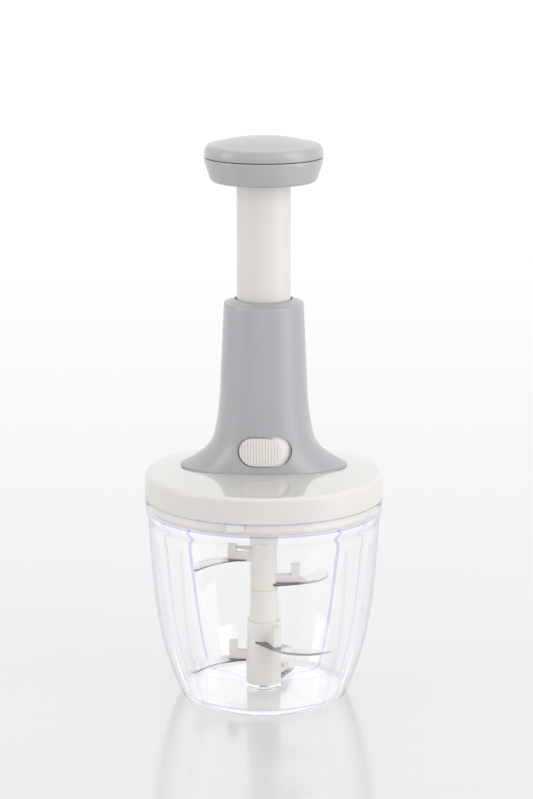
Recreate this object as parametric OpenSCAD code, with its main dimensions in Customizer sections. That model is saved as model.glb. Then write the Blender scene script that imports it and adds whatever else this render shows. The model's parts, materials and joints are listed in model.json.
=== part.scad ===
// Press food chopper: clear fluted bowl, lift-off lid, grey trumpet housing and palm plunger.
// Pushing the knob drives a nut along a three-start screw, which spins the blade column.
// Millimetres. Origin at the centre of the bowl's foot, +Z up, the user at -Y.

/* [Bowl] */
// Height of the bowl's rim above the table
rim_top = 122.5; // [118:0.5:130]
// Outer radius of the rim
rim_r = 71; // [69.5:0.5:74]
// Height of the thick rim band
rim_band_h = 9; // [8:0.5:12]
// Thickness of the rim band
rim_wall = 3; // [2.8:0.1:3.4]
// How far the bowl steps in under the rim
neck_step = 2.1; // [2:0.1:3.5]
// Outer radius of the foot
foot_r = 49.5; // [47:0.5:54]
// Wall of the clear bowl
bowl_wall = 2.4; // [2:0.1:2.8]
// Thickness of the bowl's floor
floor_t = 3.2; // [2.8:0.1:3.4]
// Number of flutes inside the bowl
flutes = 16; // [12:4:20]
// Height of the ridges between the flutes, at the bottom
flute_depth = 1.3; // [0.6:0.1:2]
// Height at which the ridges fade out
flute_top = 96; // [80:1:100]
// Number of pockets in the rim that key the lid
lid_keys = 3; // [2:1:4]
// Width of a lid key
key_w = 10.8; // [8:0.2:14]
// Turn of the first key about the bowl's axis
key_turn = 256.5; // [250:0.5:262]

/* [Blade column] */
// Radius of the pin that the column turns on
pin_r = 2.5; // [2:0.1:3]
// Height of the column's foot above the table
column_z = 6; // [5.8:0.1:6.1]
// Radius of the lower sleeve at its foot
sleeve_r = 10.4; // [9.8:0.1:11]
// Height of the lower sleeve's top
sleeve_top = 44.5; // [42:0.5:50]
// Radius of the column above the sleeve
column_r = 7.95; // [7.6:0.05:8.3]
// Height of the seam between the two halves of the column
seam_z = 64.1; // [56:0.5:66]
// Height of the column's top
column_top = 91.8; // [91:0.1:91.8]
// Reach of each arm from the axis
arm_reach = 21.5; // [19:0.5:24]
// Width of each arm and its post
arm_w = 5; // [4:0.5:6]
// Thickness of each steel blade
blade_t = 1; // [0.8:0.1:1.4]
// Radius of a blade's leading edge
blade_lead_r = 24; // [23.6:0.1:24.4]
// Radius of a blade's trailing edge
blade_trail_r = 51; // [50.5:0.1:51.5]

/* [Lid] */
// Height of the lid's side
lid_side_h = 14.8; // [13.5:0.1:15.2]
// Wall of the lid
lid_wall = 2.2; // [1.8:0.1:2.4]
// Depth of the plug below the rim
plug_depth = 7.7; // [7.4:0.1:8.2]
// Clearance between the plug and the rim's bore
plug_gap = 0.4; // [0.35:0.05:0.5]
// Wall of the plug's skirt
skirt_wall = 3; // [2.4:0.1:3.2]

/* [Housing] */
// Height of the housing's top above the table
housing_top = 238.9; // [236:0.5:246]
// Space between the guide sleeve and the housing's top
housing_step = 0.35; // [0.35:0.05:1]
// How far the housing's oval foot reaches beyond its top, left and right
foot_out_x = 26.05; // [24:0.5:28]
// How far it reaches beyond its top, front and back
foot_out_y = 7.25; // [7:0.5:9.5]
// Wall of the housing
housing_wall = 2.2; // [1.8:0.1:2.4]
// Clearance between the plunger tube and the bore of its guide sleeve
guide_step = 3.3; // [3.1:0.1:3.3]

/* [Plunger] */
// Radius of the plunger tube
tube_r = 15.9; // [15.5:0.1:16]
// Wall of the plunger tube
tube_wall = 1.8; // [1.6:0.1:2]
// Stroke of the plunger
stroke = 66; // [60:1:67]
// Height of the knob's underside, plunger up
knob_z = 310.8; // [309:0.2:316]
// Radius of the knob at its seam
knob_r = 34.5; // [32:0.5:38]
// Height of the knob's lower cup
cup_h = 13.4; // [13.2:0.2:16]
// Height of the knob's cap above the cup
cap_h = 9.8; // [9:0.2:12]

/* [Drive] */
// Travel of the nut for one turn of the screw
lead = 33; // [30:1:40]
// Mean radius of the drive screw
screw_r = 5.6; // [5.2:0.1:6]
// Height of the screw's three ribs
screw_rib = 0.9; // [0.6:0.1:1]
// Clearance between the screw and the nut
nut_gap = 0.3; // [0.25:0.05:0.4]
// Radius of the drive coupler's neck
coupler_r = 8.35; // [8.2:0.05:8.5]
// Distance across the flats of the hexagonal drive stub
stub_af = 9; // [8:0.2:10]
// Number of ratchet teeth on the clutch
ratchet_teeth = 8; // [6:1:10]
// Height of the ratchet teeth
ratchet_h = 1.8; // [1.4:0.1:1.8]
// Wire radius of the return spring
wire_r = 0.6; // [0.5:0.05:0.65]
// Mean radius of the return spring
spring_r = 10.5; // [10:0.1:11.5]
// Working coils of the return spring
spring_coils = 8; // [6:1:9]

/* [Lock] */
// Width of the lock's slot
slot_w = 32; // [30:0.5:33]
// Height of the lock's slot
slot_h = 17.7; // [17:0.1:18]
// Height of the slot's centre
slot_z = 154.9; // [154.5:0.1:155.3]
// Offset of the slot's centre to the right
slot_x = 0.6; // [0:0.1:1]
// Width of the thumb button
button_w = 24; // [22:0.5:24]
// Turn of the button from straight ahead when unlocked
lock_rest = -4.8; // [-5.2:0.1:-4.4]
// Number of ribs on the thumb button
button_ribs = 14; // [8:1:16]

/* [Hidden] */

$fn = 96;
eps = 0.01;          // overlap of a cut past the face that it opens
part_gap = 0.3;      // space between faces of pieces that move against each other
shaft_gap = 0.1;     // radial running clearance of a shaft or slide
seat_gap = 0.05;     // space between pieces that are assembled for good

// Colours
clear = [0.86, 0.88, 0.96, 0.35];
cream = [0.93, 0.92, 0.88];
grey = [0.66, 0.68, 0.70];
steel = [0.75, 0.76, 0.78];
white_pom = [0.9, 0.9, 0.88];

// Bowl
neck_r = rim_r - neck_step;
bowl_r1 = foot_r + 14.1;      // control radii of the side's curve
bowl_r2 = neck_r - 2.6;
neck_z = rim_top - rim_band_h - 7.5;
rim_bore = rim_r - rim_wall;
plug_z = rim_top - plug_depth;
shoulder_z = plug_z - 1.5;
floor_corner = 5;             // blend between floor and wall
foot_recess = 0.8;            // hollow under the foot
foot_ring_w = 5;
boss_r = 8.6;
boss_top = column_z - part_gap;
key_depth = 1.7;              // how far a key stands into the rim
pocket_z = plug_z + 2.5;      // bottom of the rim's pockets

// Blade column
pin_h = 9.5;
pin_top = column_z + pin_h;
pin_foot = 1.6;
stub_h = 18.2;
stub_top = column_top + stub_h;
spigot_af = 8;
spigot_h = 12;
spigot_top = seam_z + spigot_h;
sleeve_taper = 0.65;
sleeve_top_r = sleeve_r - sleeve_taper;
arm_root = 4;                 // where an arm starts inside the column
arm_foot = 0.7;               // how far an arm hangs below its blade
// For each blade: turn of its arm, height of its underside as a share of the column's height,
// height of its arm and of the post on it, in arm widths
stations = [
    [177, 0.884, 1.02, 0.54],
    [4, 0.710, 1.08, 1.26],
    [292, 0.304, 1.02, 1.66],
    [175, 0.150, 1.16, 1.2],
    [51, 0.007, 0.8, 0.36]];
function blade_z(i) = column_z + stations[i][1] * (column_top - column_z);
lead_centre = [0.708, 0.792] * blade_lead_r;       // centres of a blade's edge arcs, X along its arm
trail_centre = [-0.157, 0.98] * blade_trail_r;
root_turn = -78.7;            // where the leading edge turns into the blade's straight root
root_l = 15.8;                // length of that root

// Radii from the plunger tube out to the housing and its foot
guide_r = tube_r + guide_step;          // bore of the guide sleeve
sleeve_wall = 1.75;
sleeve_r_out = guide_r + sleeve_wall;
housing_r = sleeve_r_out + housing_step + housing_wall;
foot_rx = housing_r + foot_out_x;
foot_ry = housing_r + foot_out_y;

// Lid
lid_z = rim_top + part_gap;
lid_rise = lid_z + lid_side_h;          // height of the edge between side and dome
dome_fall = 833;                        // a dome point lies r * r / dome_fall below its crown
lid_draft = 0.9;
edge_r = 3;                             // rounding between side and dome
lid_edge = rim_r - lid_draft - edge_r;
dome_top = lid_rise + lid_edge * lid_edge / dome_fall;
function dome(r) = dome_top - r * r / dome_fall;
seat_z = dome(foot_rx);                 // flat oval seat of the housing
housing_h = housing_top - seat_z;
ceiling_z = seat_z - 0.9;               // flat under the lid's crown
plug_r = rim_bore - plug_gap;
base_t = 2.2;
seal_z = plug_z + 0.9;
seal_h = 1.6;
lid_boss_r = 52;
lid_boss_turn = 45;
lid_boss_size = 3.6;
screw_r_big = 1.4;                      // shank and head of the lid's, housing's and knob's screws
head_r_big = 2.7;
screw_r_small = 0.95;                   // and of the nut's screws
head_r_small = 1.7;
hole_gap = 0.2;                         // radial play of a screw in a through hole

// Housing
draft_x = 4.4;                          // how much the plain taper widens it by the seat
cove_h = 44.5;                          // height of the long hollow above the foot
cove_x = 7.1;
flare_h = 20;                           // height of the short flare that reaches the foot
foot_edge = 1.2;                        // upright edge of the oval foot
flare_x = foot_rx - housing_r - draft_x - cove_x;
cap_t = 2.4;
mouth_r = tube_r + 0.9;
housing_screw_x = 31;
housing_screw_y = 10;
boss_size = 3.2;
housing_boss_top = seat_z + 8.3;
plate_t = 3;
plate_z = ceiling_z - plate_t;
plate_r = 37;
sleeve_ceiling = housing_top - cap_t;
bush_h = 8;
bush_z = sleeve_ceiling - bush_h;
rail_w = 3;                             // guide ribs inside the sleeve
rail_r = guide_r - 1.6;

// Plunger
tube_in = tube_r - tube_wall;
flange_r = guide_r - 0.4;
flange_h = 6;
flange_top = bush_z - part_gap;
flange_z = flange_top - flange_h;
tube_top = knob_z + 9.2;
web_t = 4;                              // web near the tube's top that takes the knob's screws
knob_boss_h = 8;
knob_screw_r = 8.5;
nut_flange_t = 2.5;
nut_flange_r = tube_r + 1.1;
nut_z = flange_z - nut_flange_t;
nut_top = flange_z + 12;
nut_screw_turns = [90, 210, 330];
nut_screw_r = tube_r - 0.7;
cup_wall = 2.2;
knob_under_r = knob_r - 3;
knob_corner = 3.4;
socket_wall = 2;
knob_web_t = 2.4;
knob_seam = knob_z + cup_h;
crease_r = knob_r - 4.4;                // crease between the cap's shoulder and its dome
crease_h = 6.7;

// Drive
collar_h = 2.6;
collar_r = 7.5;
washer_t = 0.8;
washer_z = ceiling_z + part_gap;
collar_z = washer_z + washer_t;
screw_z = collar_z + collar_h;
screw_top = tube_top - web_t - knob_boss_h - stroke - 4;
shank_r = 5;
drive_hex_af = 7;
driver_top = plate_z - part_gap;
driver_r = 12;
driver_z = plug_z + base_t + 9.3;       // flat of the driver that carries the teeth
drive_hex_z = driver_z + 2;
tooth_in = 6.5;
coupler_flange_r = 12.5;
crown_top = driver_z - part_gap;
crown_z = crown_top - ratchet_h;
coupler_flange_z = plug_z + base_t + 1.2;
coupler_foot = column_top + part_gap;
rise_per_ring = 15;                     // turn between two rings of the screw's surface
section_points = 18;                    // corners of the screw's cross-section

// Spring
spring_foot = ceiling_z + wire_r + seat_gap;
spring_head = nut_z - wire_r - seat_gap;
spring_sides = 6;
spring_rings = 16;                      // rings in one coil

// Lock
slide_out = 3.6;
slide_face = housing_r + slide_out;     // radius of the slide plate's face at its foot
slide_lean = 0.067;                     // how much the face closes in per mm of height
slide_t = 1.6;
slide_w = 40;                           // width of the plate, across the front
slide_z = slot_z - slot_h / 2 - 1;
slide_h = slot_h + 2;
button_r = foot_ry - 0.1;
button_h = slot_h - 1.2;
rib_depth = 0.5;
tongue_w = 5;
tongue_z = flange_top - stroke + part_gap;
tongue_h = 2.4;
tongue_r = flange_r - 1.4;
tongue_gap = 0.5;
window_w = 2 * tongue_w + 8;            // window in sleeve and rail, with room for the tongue's swing

// ---------- Bowl ----------

// Outer radius and height of the bowl's side at t = 0 (foot) to 1 (neck)
function bezier(a, b, c, d, t) =
    a * pow(1 - t, 3) + 3 * b * t * pow(1 - t, 2) + 3 * c * t * t * (1 - t) + d * pow(t, 3);
function side_r(t) = bezier(foot_r, bowl_r1, bowl_r2, neck_r, t);
function side_z(t) = bezier(0, 0.3 * neck_z, 0.53 * neck_z, neck_z, t);
function smooth(t) = t * t * (3 - 2 * t);
function step_r(r0, r1, z0, z1, n) = [for (i = [1 : n]) let (t = i / n)
    [r0 + (r1 - r0) * smooth(t), z0 + (z1 - z0) * t]];

module bowl_outside() {
    side = [for (i = [0 : 16]) [side_r(i / 16), side_z(i / 16)]];
    rim = step_r(neck_r, rim_r - 0.4, neck_z, rim_top - rim_band_h + 1.5, 6);
    rotate_extrude()
        polygon(concat([[0, 0], [foot_r - 0.8, 0], [foot_r, 0.6]],
            [for (i = [1 : 16]) side[i]], rim,
            [[rim_r, rim_top - 0.5], [rim_r - 0.4, rim_top], [0, rim_top]]));
}

// The fluted cavity: rings of points whose ridges fade in towards the floor
function cavity_r(t) = side_r(t) - bowl_wall;
function ridge(a) = 1 - abs(sin(a * flutes / 2));
function fade(z) = let (t = max(0, 1 - z / flute_top)) pow(t, 0.7);
module fluted_cavity() {
    points_round = flutes * 6;
    rings = 13;
    top_t = 0.985;
    foot_t = 0.055;
    corner = [for (i = [0 : 2]) let (a = 90 * i / 3)
        [cavity_r(foot_t) - floor_corner * (1 - sin(a)),
         floor_t + (side_z(foot_t) - floor_t) * (1 - cos(a))]];
    side = [for (i = [0 : rings - 1]) let (t = foot_t + (top_t - foot_t) * i / (rings - 1))
        [cavity_r(t), side_z(t)]];
    profile = concat(corner, side);
    points = concat([for (p = profile) for (k = [0 : points_round - 1])
        let (a = 360 * k / points_round,
             r = p[0] - flute_depth * fade(p[1]) * ridge(a) * min(1, (p[1] - floor_t) / 4))
        [r * cos(a), r * sin(a), p[1]]],
        [[0, 0, floor_t], [0, 0, profile[len(profile) - 1][1]]]);
    n = points_round;
    last = len(profile) - 1;
    walls = [for (j = [0 : last - 1]) for (k = [0 : n - 1]) let (m = (k + 1) % n)
        each [[j * n + k, j * n + m, (j + 1) * n + m], [j * n + k, (j + 1) * n + m, (j + 1) * n + k]]];
    floor_fan = [for (k = [0 : n - 1]) [n * (last + 1), (k + 1) % n, k]];
    top_fan = [for (k = [0 : n - 1]) [n * (last + 1) + 1, last * n + k, last * n + (k + 1) % n]];
    polyhedron(points, [for (f = concat(walls, floor_fan, top_fan)) [f[2], f[1], f[0]]]);
}

module rim_bore_cut() {
    throat_z = side_z(0.97);
    throat_r = cavity_r(0.97);
    rotate_extrude()
        polygon(concat([[0, throat_z], [throat_r, throat_z]],
            step_r(throat_r, rim_bore, neck_z, shoulder_z, 5),
            [[rim_bore, rim_top + eps], [0, rim_top + eps]]));
}

// A key or its pocket: a block with a rounded foot, from radius r0 to r1
module rim_key(w, foot_z, top_z, r0, r1) {
    intersection() {
        rotate_extrude() translate([r0, foot_z]) square([r1 - r0, top_z - foot_z]);
        translate([0, 0, foot_z + w / 4]) rotate([90, 0, 90]) linear_extrude(rim_r + 5) {
            translate([-w / 4, 0]) circle(w / 4);
            translate([w / 4, 0]) circle(w / 4);
            translate([-w / 4, -w / 4]) square([w / 2, w / 2]);
            translate([-w / 2, 0]) square([w, top_z - foot_z]);
        }
    }
}
module each_key() {
    for (k = [0 : lid_keys - 1]) rotate([0, 0, key_turn + 360 * k / lid_keys]) children();
}

module bowl() {
    color(clear) difference() {
        bowl_outside();
        difference() {
            fluted_cavity();
            cylinder(r1 = boss_r + 1, r2 = boss_r, h = boss_top);
        }
        rim_bore_cut();
        each_key() rim_key(key_w + 2 * part_gap, pocket_z, rim_top + eps,
            rim_bore - 1, rim_bore + key_depth + part_gap);
        translate([0, 0, -eps]) cylinder(r = foot_r - foot_ring_w, h = foot_recess);
        translate([0, 0, pin_foot]) cylinder(r = pin_r + seat_gap, h = boss_top);
    }
}

module spindle_pin() {
    color(steel) rotate_extrude() polygon([[0, pin_foot + seat_gap], [pin_r, pin_foot + seat_gap],
        [pin_r, pin_top - 1], [pin_r - 0.8, pin_top], [0, pin_top]]);
}

// ---------- Blade column ----------

module hexagon(af, h) {
    cylinder(d = af / cos(30), h = h, $fn = 6);
}

function on_arc(c, r, a) = c + r * [cos(a), sin(a)];
function angle_from(c, p) = atan2(p[1] - c[1], p[0] - c[0]);
// Where the edge arcs of radius r0 (leading) and r1 (trailing) meet in the blade's tip
function tip_at(r0, r1) = let (v = trail_centre - lead_centre, d = norm(v), u = v / d,
        a = (r0 * r0 - r1 * r1 + d * d) / (2 * d))
    lead_centre + a * u + sqrt(r0 * r0 - a * a) * [u[1], -u[0]];

// Outline of a sickle blade, X along its arm; grow widens it for the pocket it is moulded into
module sickle(grow) {
    r0 = blade_lead_r + grow;
    r1 = blade_trail_r - grow;
    tip = tip_at(r0, r1);
    lead_end = angle_from(lead_centre, tip);
    trail_start = angle_from(trail_centre, tip);
    trail_end = -77.5;
    root = on_arc(lead_centre, r0, root_turn) - (root_l + grow) * [-sin(root_turn), cos(root_turn)];
    polygon(concat([root],
        [for (i = [0 : 24]) on_arc(lead_centre, r0, root_turn + (lead_end - root_turn) * i / 24)],
        [for (i = [1 : 16]) on_arc(trail_centre, r1, trail_start + (trail_end - trail_start) * i / 16)],
        [root * 0.53]));
}

module place_blade(i) {
    rotate([0, 0, stations[i][0]]) translate([0, 0, blade_z(i)]) children();
}

module blade(i) {
    color(steel) place_blade(i) linear_extrude(blade_t) difference() {
        sickle(0);
        circle(column_r / 2 + 2);
    }
}

// The pocket in the column and its arms that a blade's root is moulded into
module blade_pocket(i) {
    place_blade(i) translate([0, 0, -seat_gap]) linear_extrude(blade_t + 2 * seat_gap) difference() {
        sickle(seat_gap);
        circle(column_r / 2 + 2 - seat_gap);
    }
}

module arm(i) {
    z = blade_z(i);
    top = z + arm_w * stations[i][2];
    post = top + arm_w * stations[i][3];
    foot = max(column_z + 0.1, z - arm_foot);
    rotate([0, 0, stations[i][0]]) {
        translate([arm_root, -arm_w / 2, foot]) cube([arm_reach - arm_root, arm_w, top - foot]);
        translate([arm_reach - arm_w, -arm_w / 2, foot]) cube([arm_w, arm_w, post - foot]);
    }
}

module lower_blade_hub() {
    color(cream) difference() {
        union() {
            translate([0, 0, column_z])
                cylinder(r1 = sleeve_r, r2 = sleeve_top_r, h = sleeve_top - column_z);
            translate([0, 0, sleeve_top - eps]) cylinder(r = column_r, h = seam_z - sleeve_top);
            translate([0, 0, sleeve_top]) hexagon(spigot_af, spigot_top - sleeve_top);
            for (i = [2 : 4]) arm(i);
        }
        for (i = [2 : 4]) blade_pocket(i);
        translate([0, 0, column_z - eps]) cylinder(r = pin_r + shaft_gap, h = pin_top - column_z + part_gap);
    }
}

module upper_blade_hub() {
    color(cream) difference() {
        union() {
            translate([0, 0, seam_z]) cylinder(r = column_r, h = column_top - seam_z);
            translate([0, 0, column_top - 1]) hexagon(stub_af, stub_top - column_top + 1);
            for (i = [0 : 1]) arm(i);
        }
        for (i = [0 : 1]) blade_pocket(i);
        translate([0, 0, seam_z - eps])
            hexagon(spigot_af + 2 * seat_gap, spigot_top - seam_z + seat_gap);
    }
}

module blade_1() { blade(0); }
module blade_2() { blade(1); }
module blade_3() { blade(2); }
module blade_4() { blade(3); }
module blade_5() { blade(4); }

// ---------- Lid ----------

// Places of the four screws between the lid's base and cover
module each_lid_boss() {
    for (k = [0 : 3]) rotate([0, 0, lid_boss_turn + 90 * k]) translate([lid_boss_r, 0, 0]) children();
}

module each_housing_screw() {
    for (x = [-1, 1]) for (y = [-1, 1])
        translate([x * housing_screw_x, y * housing_screw_y, 0]) children();
}

module oval(rx, ry, h) {
    scale([rx / ry, 1, 1]) cylinder(r = ry, h = h);
}

module lid_cover() {
    side_in = rim_r - lid_wall - 0.8;
    dome_points = [for (i = [0 : 8]) let (r = lid_edge * (8 - i) / 8) [r, dome(r)]];
    edge = [for (i = [1 : 5]) let (a = 90 * i / 6)
        [lid_edge + edge_r * cos(a), lid_rise - edge_r * (1 - sin(a))]];
    under = [for (i = [0 : 4]) let (r = plate_r + 1 + (side_in - 4 - plate_r) * i / 4)
        [r, i == 0 ? ceiling_z : min(ceiling_z, dome(r) - lid_wall)]];
    color(cream) difference() {
        union() {
            rotate_extrude() polygon(concat(
                [[side_in, lid_z], [rim_r, lid_z], [rim_r - lid_draft, lid_rise - edge_r]],
                edge, dome_points, [[0, ceiling_z]], under, [[side_in, lid_rise - 5]]));
            translate([0, 0, plug_z + base_t + seat_gap]) each_lid_boss()
                cylinder(r = lid_boss_size, h = ceiling_z - plug_z - base_t - 1);
        }
        translate([0, 0, seat_z]) oval(foot_rx + 0.15, foot_ry + 0.15, 10);
        translate([0, 0, ceiling_z - 1]) cylinder(r = sleeve_r_out + 0.2, h = 20);
        translate([0, 0, plug_z]) each_lid_boss() cylinder(r = screw_r_big + seat_gap, h = 14);
        each_housing_screw() translate([0, 0, ceiling_z - 1]) cylinder(r = screw_r_big + hole_gap, h = 20);
    }
}

module lid_base() {
    skirt_in = plug_r - skirt_wall;
    skirt_top = lid_z + 3;
    boss_h_base = coupler_flange_z - part_gap - plug_z - base_t;
    color(cream) difference() {
        union() {
            rotate_extrude() polygon([[0, plug_z], [plug_r - 0.5, plug_z], [plug_r, plug_z + 0.5],
                [plug_r, skirt_top], [skirt_in + 1.2, skirt_top], [skirt_in, skirt_top - 3],
                [skirt_in, plug_z + base_t], [0, plug_z + base_t]]);
            each_key() rim_key(key_w, pocket_z + part_gap, lid_z, plug_r - 1, rim_bore + key_depth);
            translate([0, 0, plug_z]) cylinder(r = coupler_r + 3, h = base_t + boss_h_base);
        }
        translate([0, 0, plug_z - 1]) cylinder(r = coupler_r + shaft_gap, h = base_t + boss_h_base + 2);
        each_lid_boss() translate([0, 0, plug_z - 1]) cylinder(r = screw_r_big + hole_gap, h = base_t + 2);
        each_lid_boss() translate([0, 0, plug_z - eps]) cylinder(r = head_r_big + hole_gap, h = 1.2);
        rotate_extrude() translate([plug_r - 1.4, seal_z]) square([2, seal_h]);
    }
}

module seal_ring() {
    bead = seal_h / 2 - seat_gap;
    outer = plug_r + 0.1;
    color([0.85, 0.86, 0.88]) rotate_extrude() {
        translate([plug_r - 1.4 + seat_gap, seal_z + seat_gap]) square([1.5 - bead, 2 * bead]);
        translate([outer - bead, seal_z + seat_gap + bead]) circle(bead, $fn = 24);
    }
}

// A pan-head screw with a cross recess, head down, from z = 0 up
module screw(r, head_r, head_h, length) {
    difference() {
        union() {
            cylinder(r = head_r, h = head_h);
            cylinder(r = r, h = length);
        }
        for (a = [0, 90]) rotate([0, 0, a])
            translate([-head_r / 2, -head_r / 8, -eps]) cube([head_r, head_r / 4, head_h / 2]);
    }
}

module lid_screws() {
    color(steel) each_lid_boss() translate([0, 0, plug_z]) screw(screw_r_big, head_r_big, 1.1, 11);
}

// ---------- Housing ----------

// Half width and half depth of the housing at height z
function up(z) = (z - seat_z) / housing_h;
function hollow(z, h, p) = pow(min(1, max(0, 1 - (z - seat_z - foot_edge) / h)), p);
function half_x(z) = housing_r + draft_x * (1 - max(0, up(z)))
    + cove_x * hollow(z, cove_h, 2) + flare_x * hollow(z, flare_h, 2.5);
function half_y(z) = housing_r + (foot_ry - housing_r) * (1 - up(z));

// A loft of ovals through the given heights, shrunk by the wall w
module housing_loft(heights, w, sides) {
    last = len(heights) - 1;
    points = concat([for (z = heights) for (k = [0 : sides - 1]) let (a = 360 * k / sides)
        [(half_x(z) - w) * cos(a), (half_y(z) - w) * sin(a), z]],
        [[0, 0, heights[0]], [0, 0, heights[last]]]);
    walls = [for (j = [0 : last - 1]) for (k = [0 : sides - 1]) let (m = (k + 1) % sides)
        each [[j * sides + k, (j + 1) * sides + m, j * sides + m],
              [j * sides + k, (j + 1) * sides + k, (j + 1) * sides + m]]];
    foot_fan = [for (k = [0 : sides - 1]) [sides * (last + 1), k, (k + 1) % sides]];
    head_fan = [for (k = [0 : sides - 1]) [sides * (last + 1) + 1, last * sides + (k + 1) % sides, last * sides + k]];
    polyhedron(points, concat(walls, foot_fan, head_fan));
}

// A stadium standing across the front, w wide and h high, from depth y0 to y1
module front_slot(w, h, y0, y1) {
    translate([0, -y0, slot_z]) rotate([90, 0, 0]) linear_extrude(y1 - y0) {
        square([w - h, h], center = true);
        for (s = [-1, 1]) translate([s * (w - h) / 2, 0]) circle(h / 2);
    }
}

module lock_rails() {
    hook = 1.4;
    foot = slide_z - part_gap;
    head = slide_z + slide_h + part_gap;
    back = slide_face - slide_lean * slide_h - slide_t - part_gap;
    intersection() {
        rotate_extrude() {
            polygon([[back - 1, foot - 1.2], [slide_face + 2.2, foot - 1.2], [slide_face + 2.2, foot],
                [back, foot], [back, foot + hook], [back - 1, foot + hook]]);
            polygon([[back - 1, head - hook], [back, head - hook], [back, head],
                [slide_face + 0.6, head], [slide_face + 0.6, head + 1.2], [back - 1, head + 1.2]]);
        }
        difference() {
            translate([-22, -40, foot - 5]) cube([44, 30, slide_h + 10]);
            translate([-window_w / 2, -back - 1, tongue_z - part_gap]) cube([window_w, 5, head - tongue_z + part_gap]);
        }
    }
}

module housing() {
    body_rings = 14;
    outer = concat([seat_z, seat_z + foot_edge],
        [for (i = [1 : body_rings]) seat_z + foot_edge + (housing_h - foot_edge - 1.3) * pow(i / body_rings, 1.7)]);
    inner = [for (i = [0 : body_rings - 2])
        seat_z - 1 + (housing_h + 1 - cap_t) * pow(i / (body_rings - 2), 1.7)];
    color(grey) difference() {
        union() {
            difference() {
                union() {
                    housing_loft(outer, 0, 64);
                    translate([0, 0, outer[len(outer) - 1]])
                        cylinder(r1 = housing_r - 0.05, r2 = housing_r - 0.9, h = housing_top - outer[len(outer) - 1]);
                }
                housing_loft(inner, housing_wall, 64);
            }
            each_housing_screw() translate([0, 0, seat_z]) cylinder(r = boss_size, h = housing_boss_top - seat_z);
            lock_rails();
        }
        translate([slot_x, 0, 0]) front_slot(slot_w, slot_h, 20, 45);
        translate([0, 0, sleeve_ceiling - 1]) cylinder(r = mouth_r, h = 10);
        translate([0, 0, housing_top - 0.8]) cylinder(r1 = mouth_r + 1, r2 = housing_r - 2, h = 0.8 + eps);
        each_housing_screw() translate([0, 0, seat_z - 1]) cylinder(r = screw_r_big + seat_gap, h = 7);
    }
}

module bearing_plate() {
    color(white_pom) difference() {
        union() {
            translate([0, 0, plate_z]) cylinder(r = plate_r, h = plate_t - seat_gap);
            translate([0, 0, plate_z]) cylinder(r = sleeve_r_out, h = plate_t);
        }
        translate([0, 0, plate_z - 1]) cylinder(r = shank_r + shaft_gap, h = plate_t + 2);
        each_housing_screw() translate([0, 0, plate_z - 1]) cylinder(r = screw_r_big + hole_gap, h = plate_t + 2);
    }
}

module housing_screws() {
    color(steel) each_housing_screw() translate([0, 0, plate_z - 1.6]) screw(screw_r_big, head_r_big, 1.55, 11);
}

module guide_sleeve() {
    color(white_pom) difference() {
        union() {
            translate([0, 0, ceiling_z + seat_gap]) difference() {
                cylinder(r = sleeve_r_out, h = sleeve_ceiling - ceiling_z - 2 * seat_gap);
                translate([0, 0, -1]) cylinder(r = guide_r, h = housing_h);
            }
            for (s = [0, 180]) rotate([0, 0, s]) translate([rail_r, -rail_w / 2, ceiling_z + 1])
                cube([guide_r - rail_r + 0.5, rail_w, bush_z - ceiling_z - 1 - seat_gap]);
        }
        translate([-window_w / 2, -sleeve_r_out - 5, tongue_z - part_gap])
            cube([window_w, 10, tongue_h + 2 * part_gap]);
    }
}

module guide_bush() {
    color(grey * 0.8) translate([0, 0, bush_z]) difference() {
        cylinder(r = guide_r - seat_gap, h = bush_h - seat_gap);
        translate([0, 0, -1]) cylinder(r = tube_r + shaft_gap, h = bush_h + 2);
    }
}

// ---------- Spring ----------

// Height of the wire after a turns: closed end coils and an even rise between them
function wire_z(a) = let (dead = 1, close = 2.2 * wire_r,
        rise = (spring_head - spring_foot - 2 * close) / spring_coils)
    a < dead ? spring_foot + close * a
    : a < dead + spring_coils ? spring_foot + close + rise * (a - dead)
    : spring_head - close * (2 * dead + spring_coils - a);

module return_spring() {
    steps = (spring_coils + 2) * spring_rings;
    n = spring_sides;
    points = [for (i = [0 : steps]) for (k = [0 : n - 1])
        let (a = 360 * i / spring_rings, b = 360 * k / n, r = spring_r + wire_r * cos(b))
        [r * cos(a), r * sin(a), wire_z(i / spring_rings) + wire_r * sin(b)]];
    walls = [for (i = [0 : steps - 1]) for (k = [0 : n - 1]) let (m = (k + 1) % n)
        each [[i * n + k, (i + 1) * n + k, (i + 1) * n + m], [i * n + k, (i + 1) * n + m, i * n + m]]];
    ends = [for (k = [1 : n - 2]) each [[0, k, k + 1], [steps * n, steps * n + k + 1, steps * n + k]]];
    color(steel) polyhedron(points, [for (f = concat(walls, ends)) [f[2], f[1], f[0]]]);
}

// ---------- Lock ----------

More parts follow.
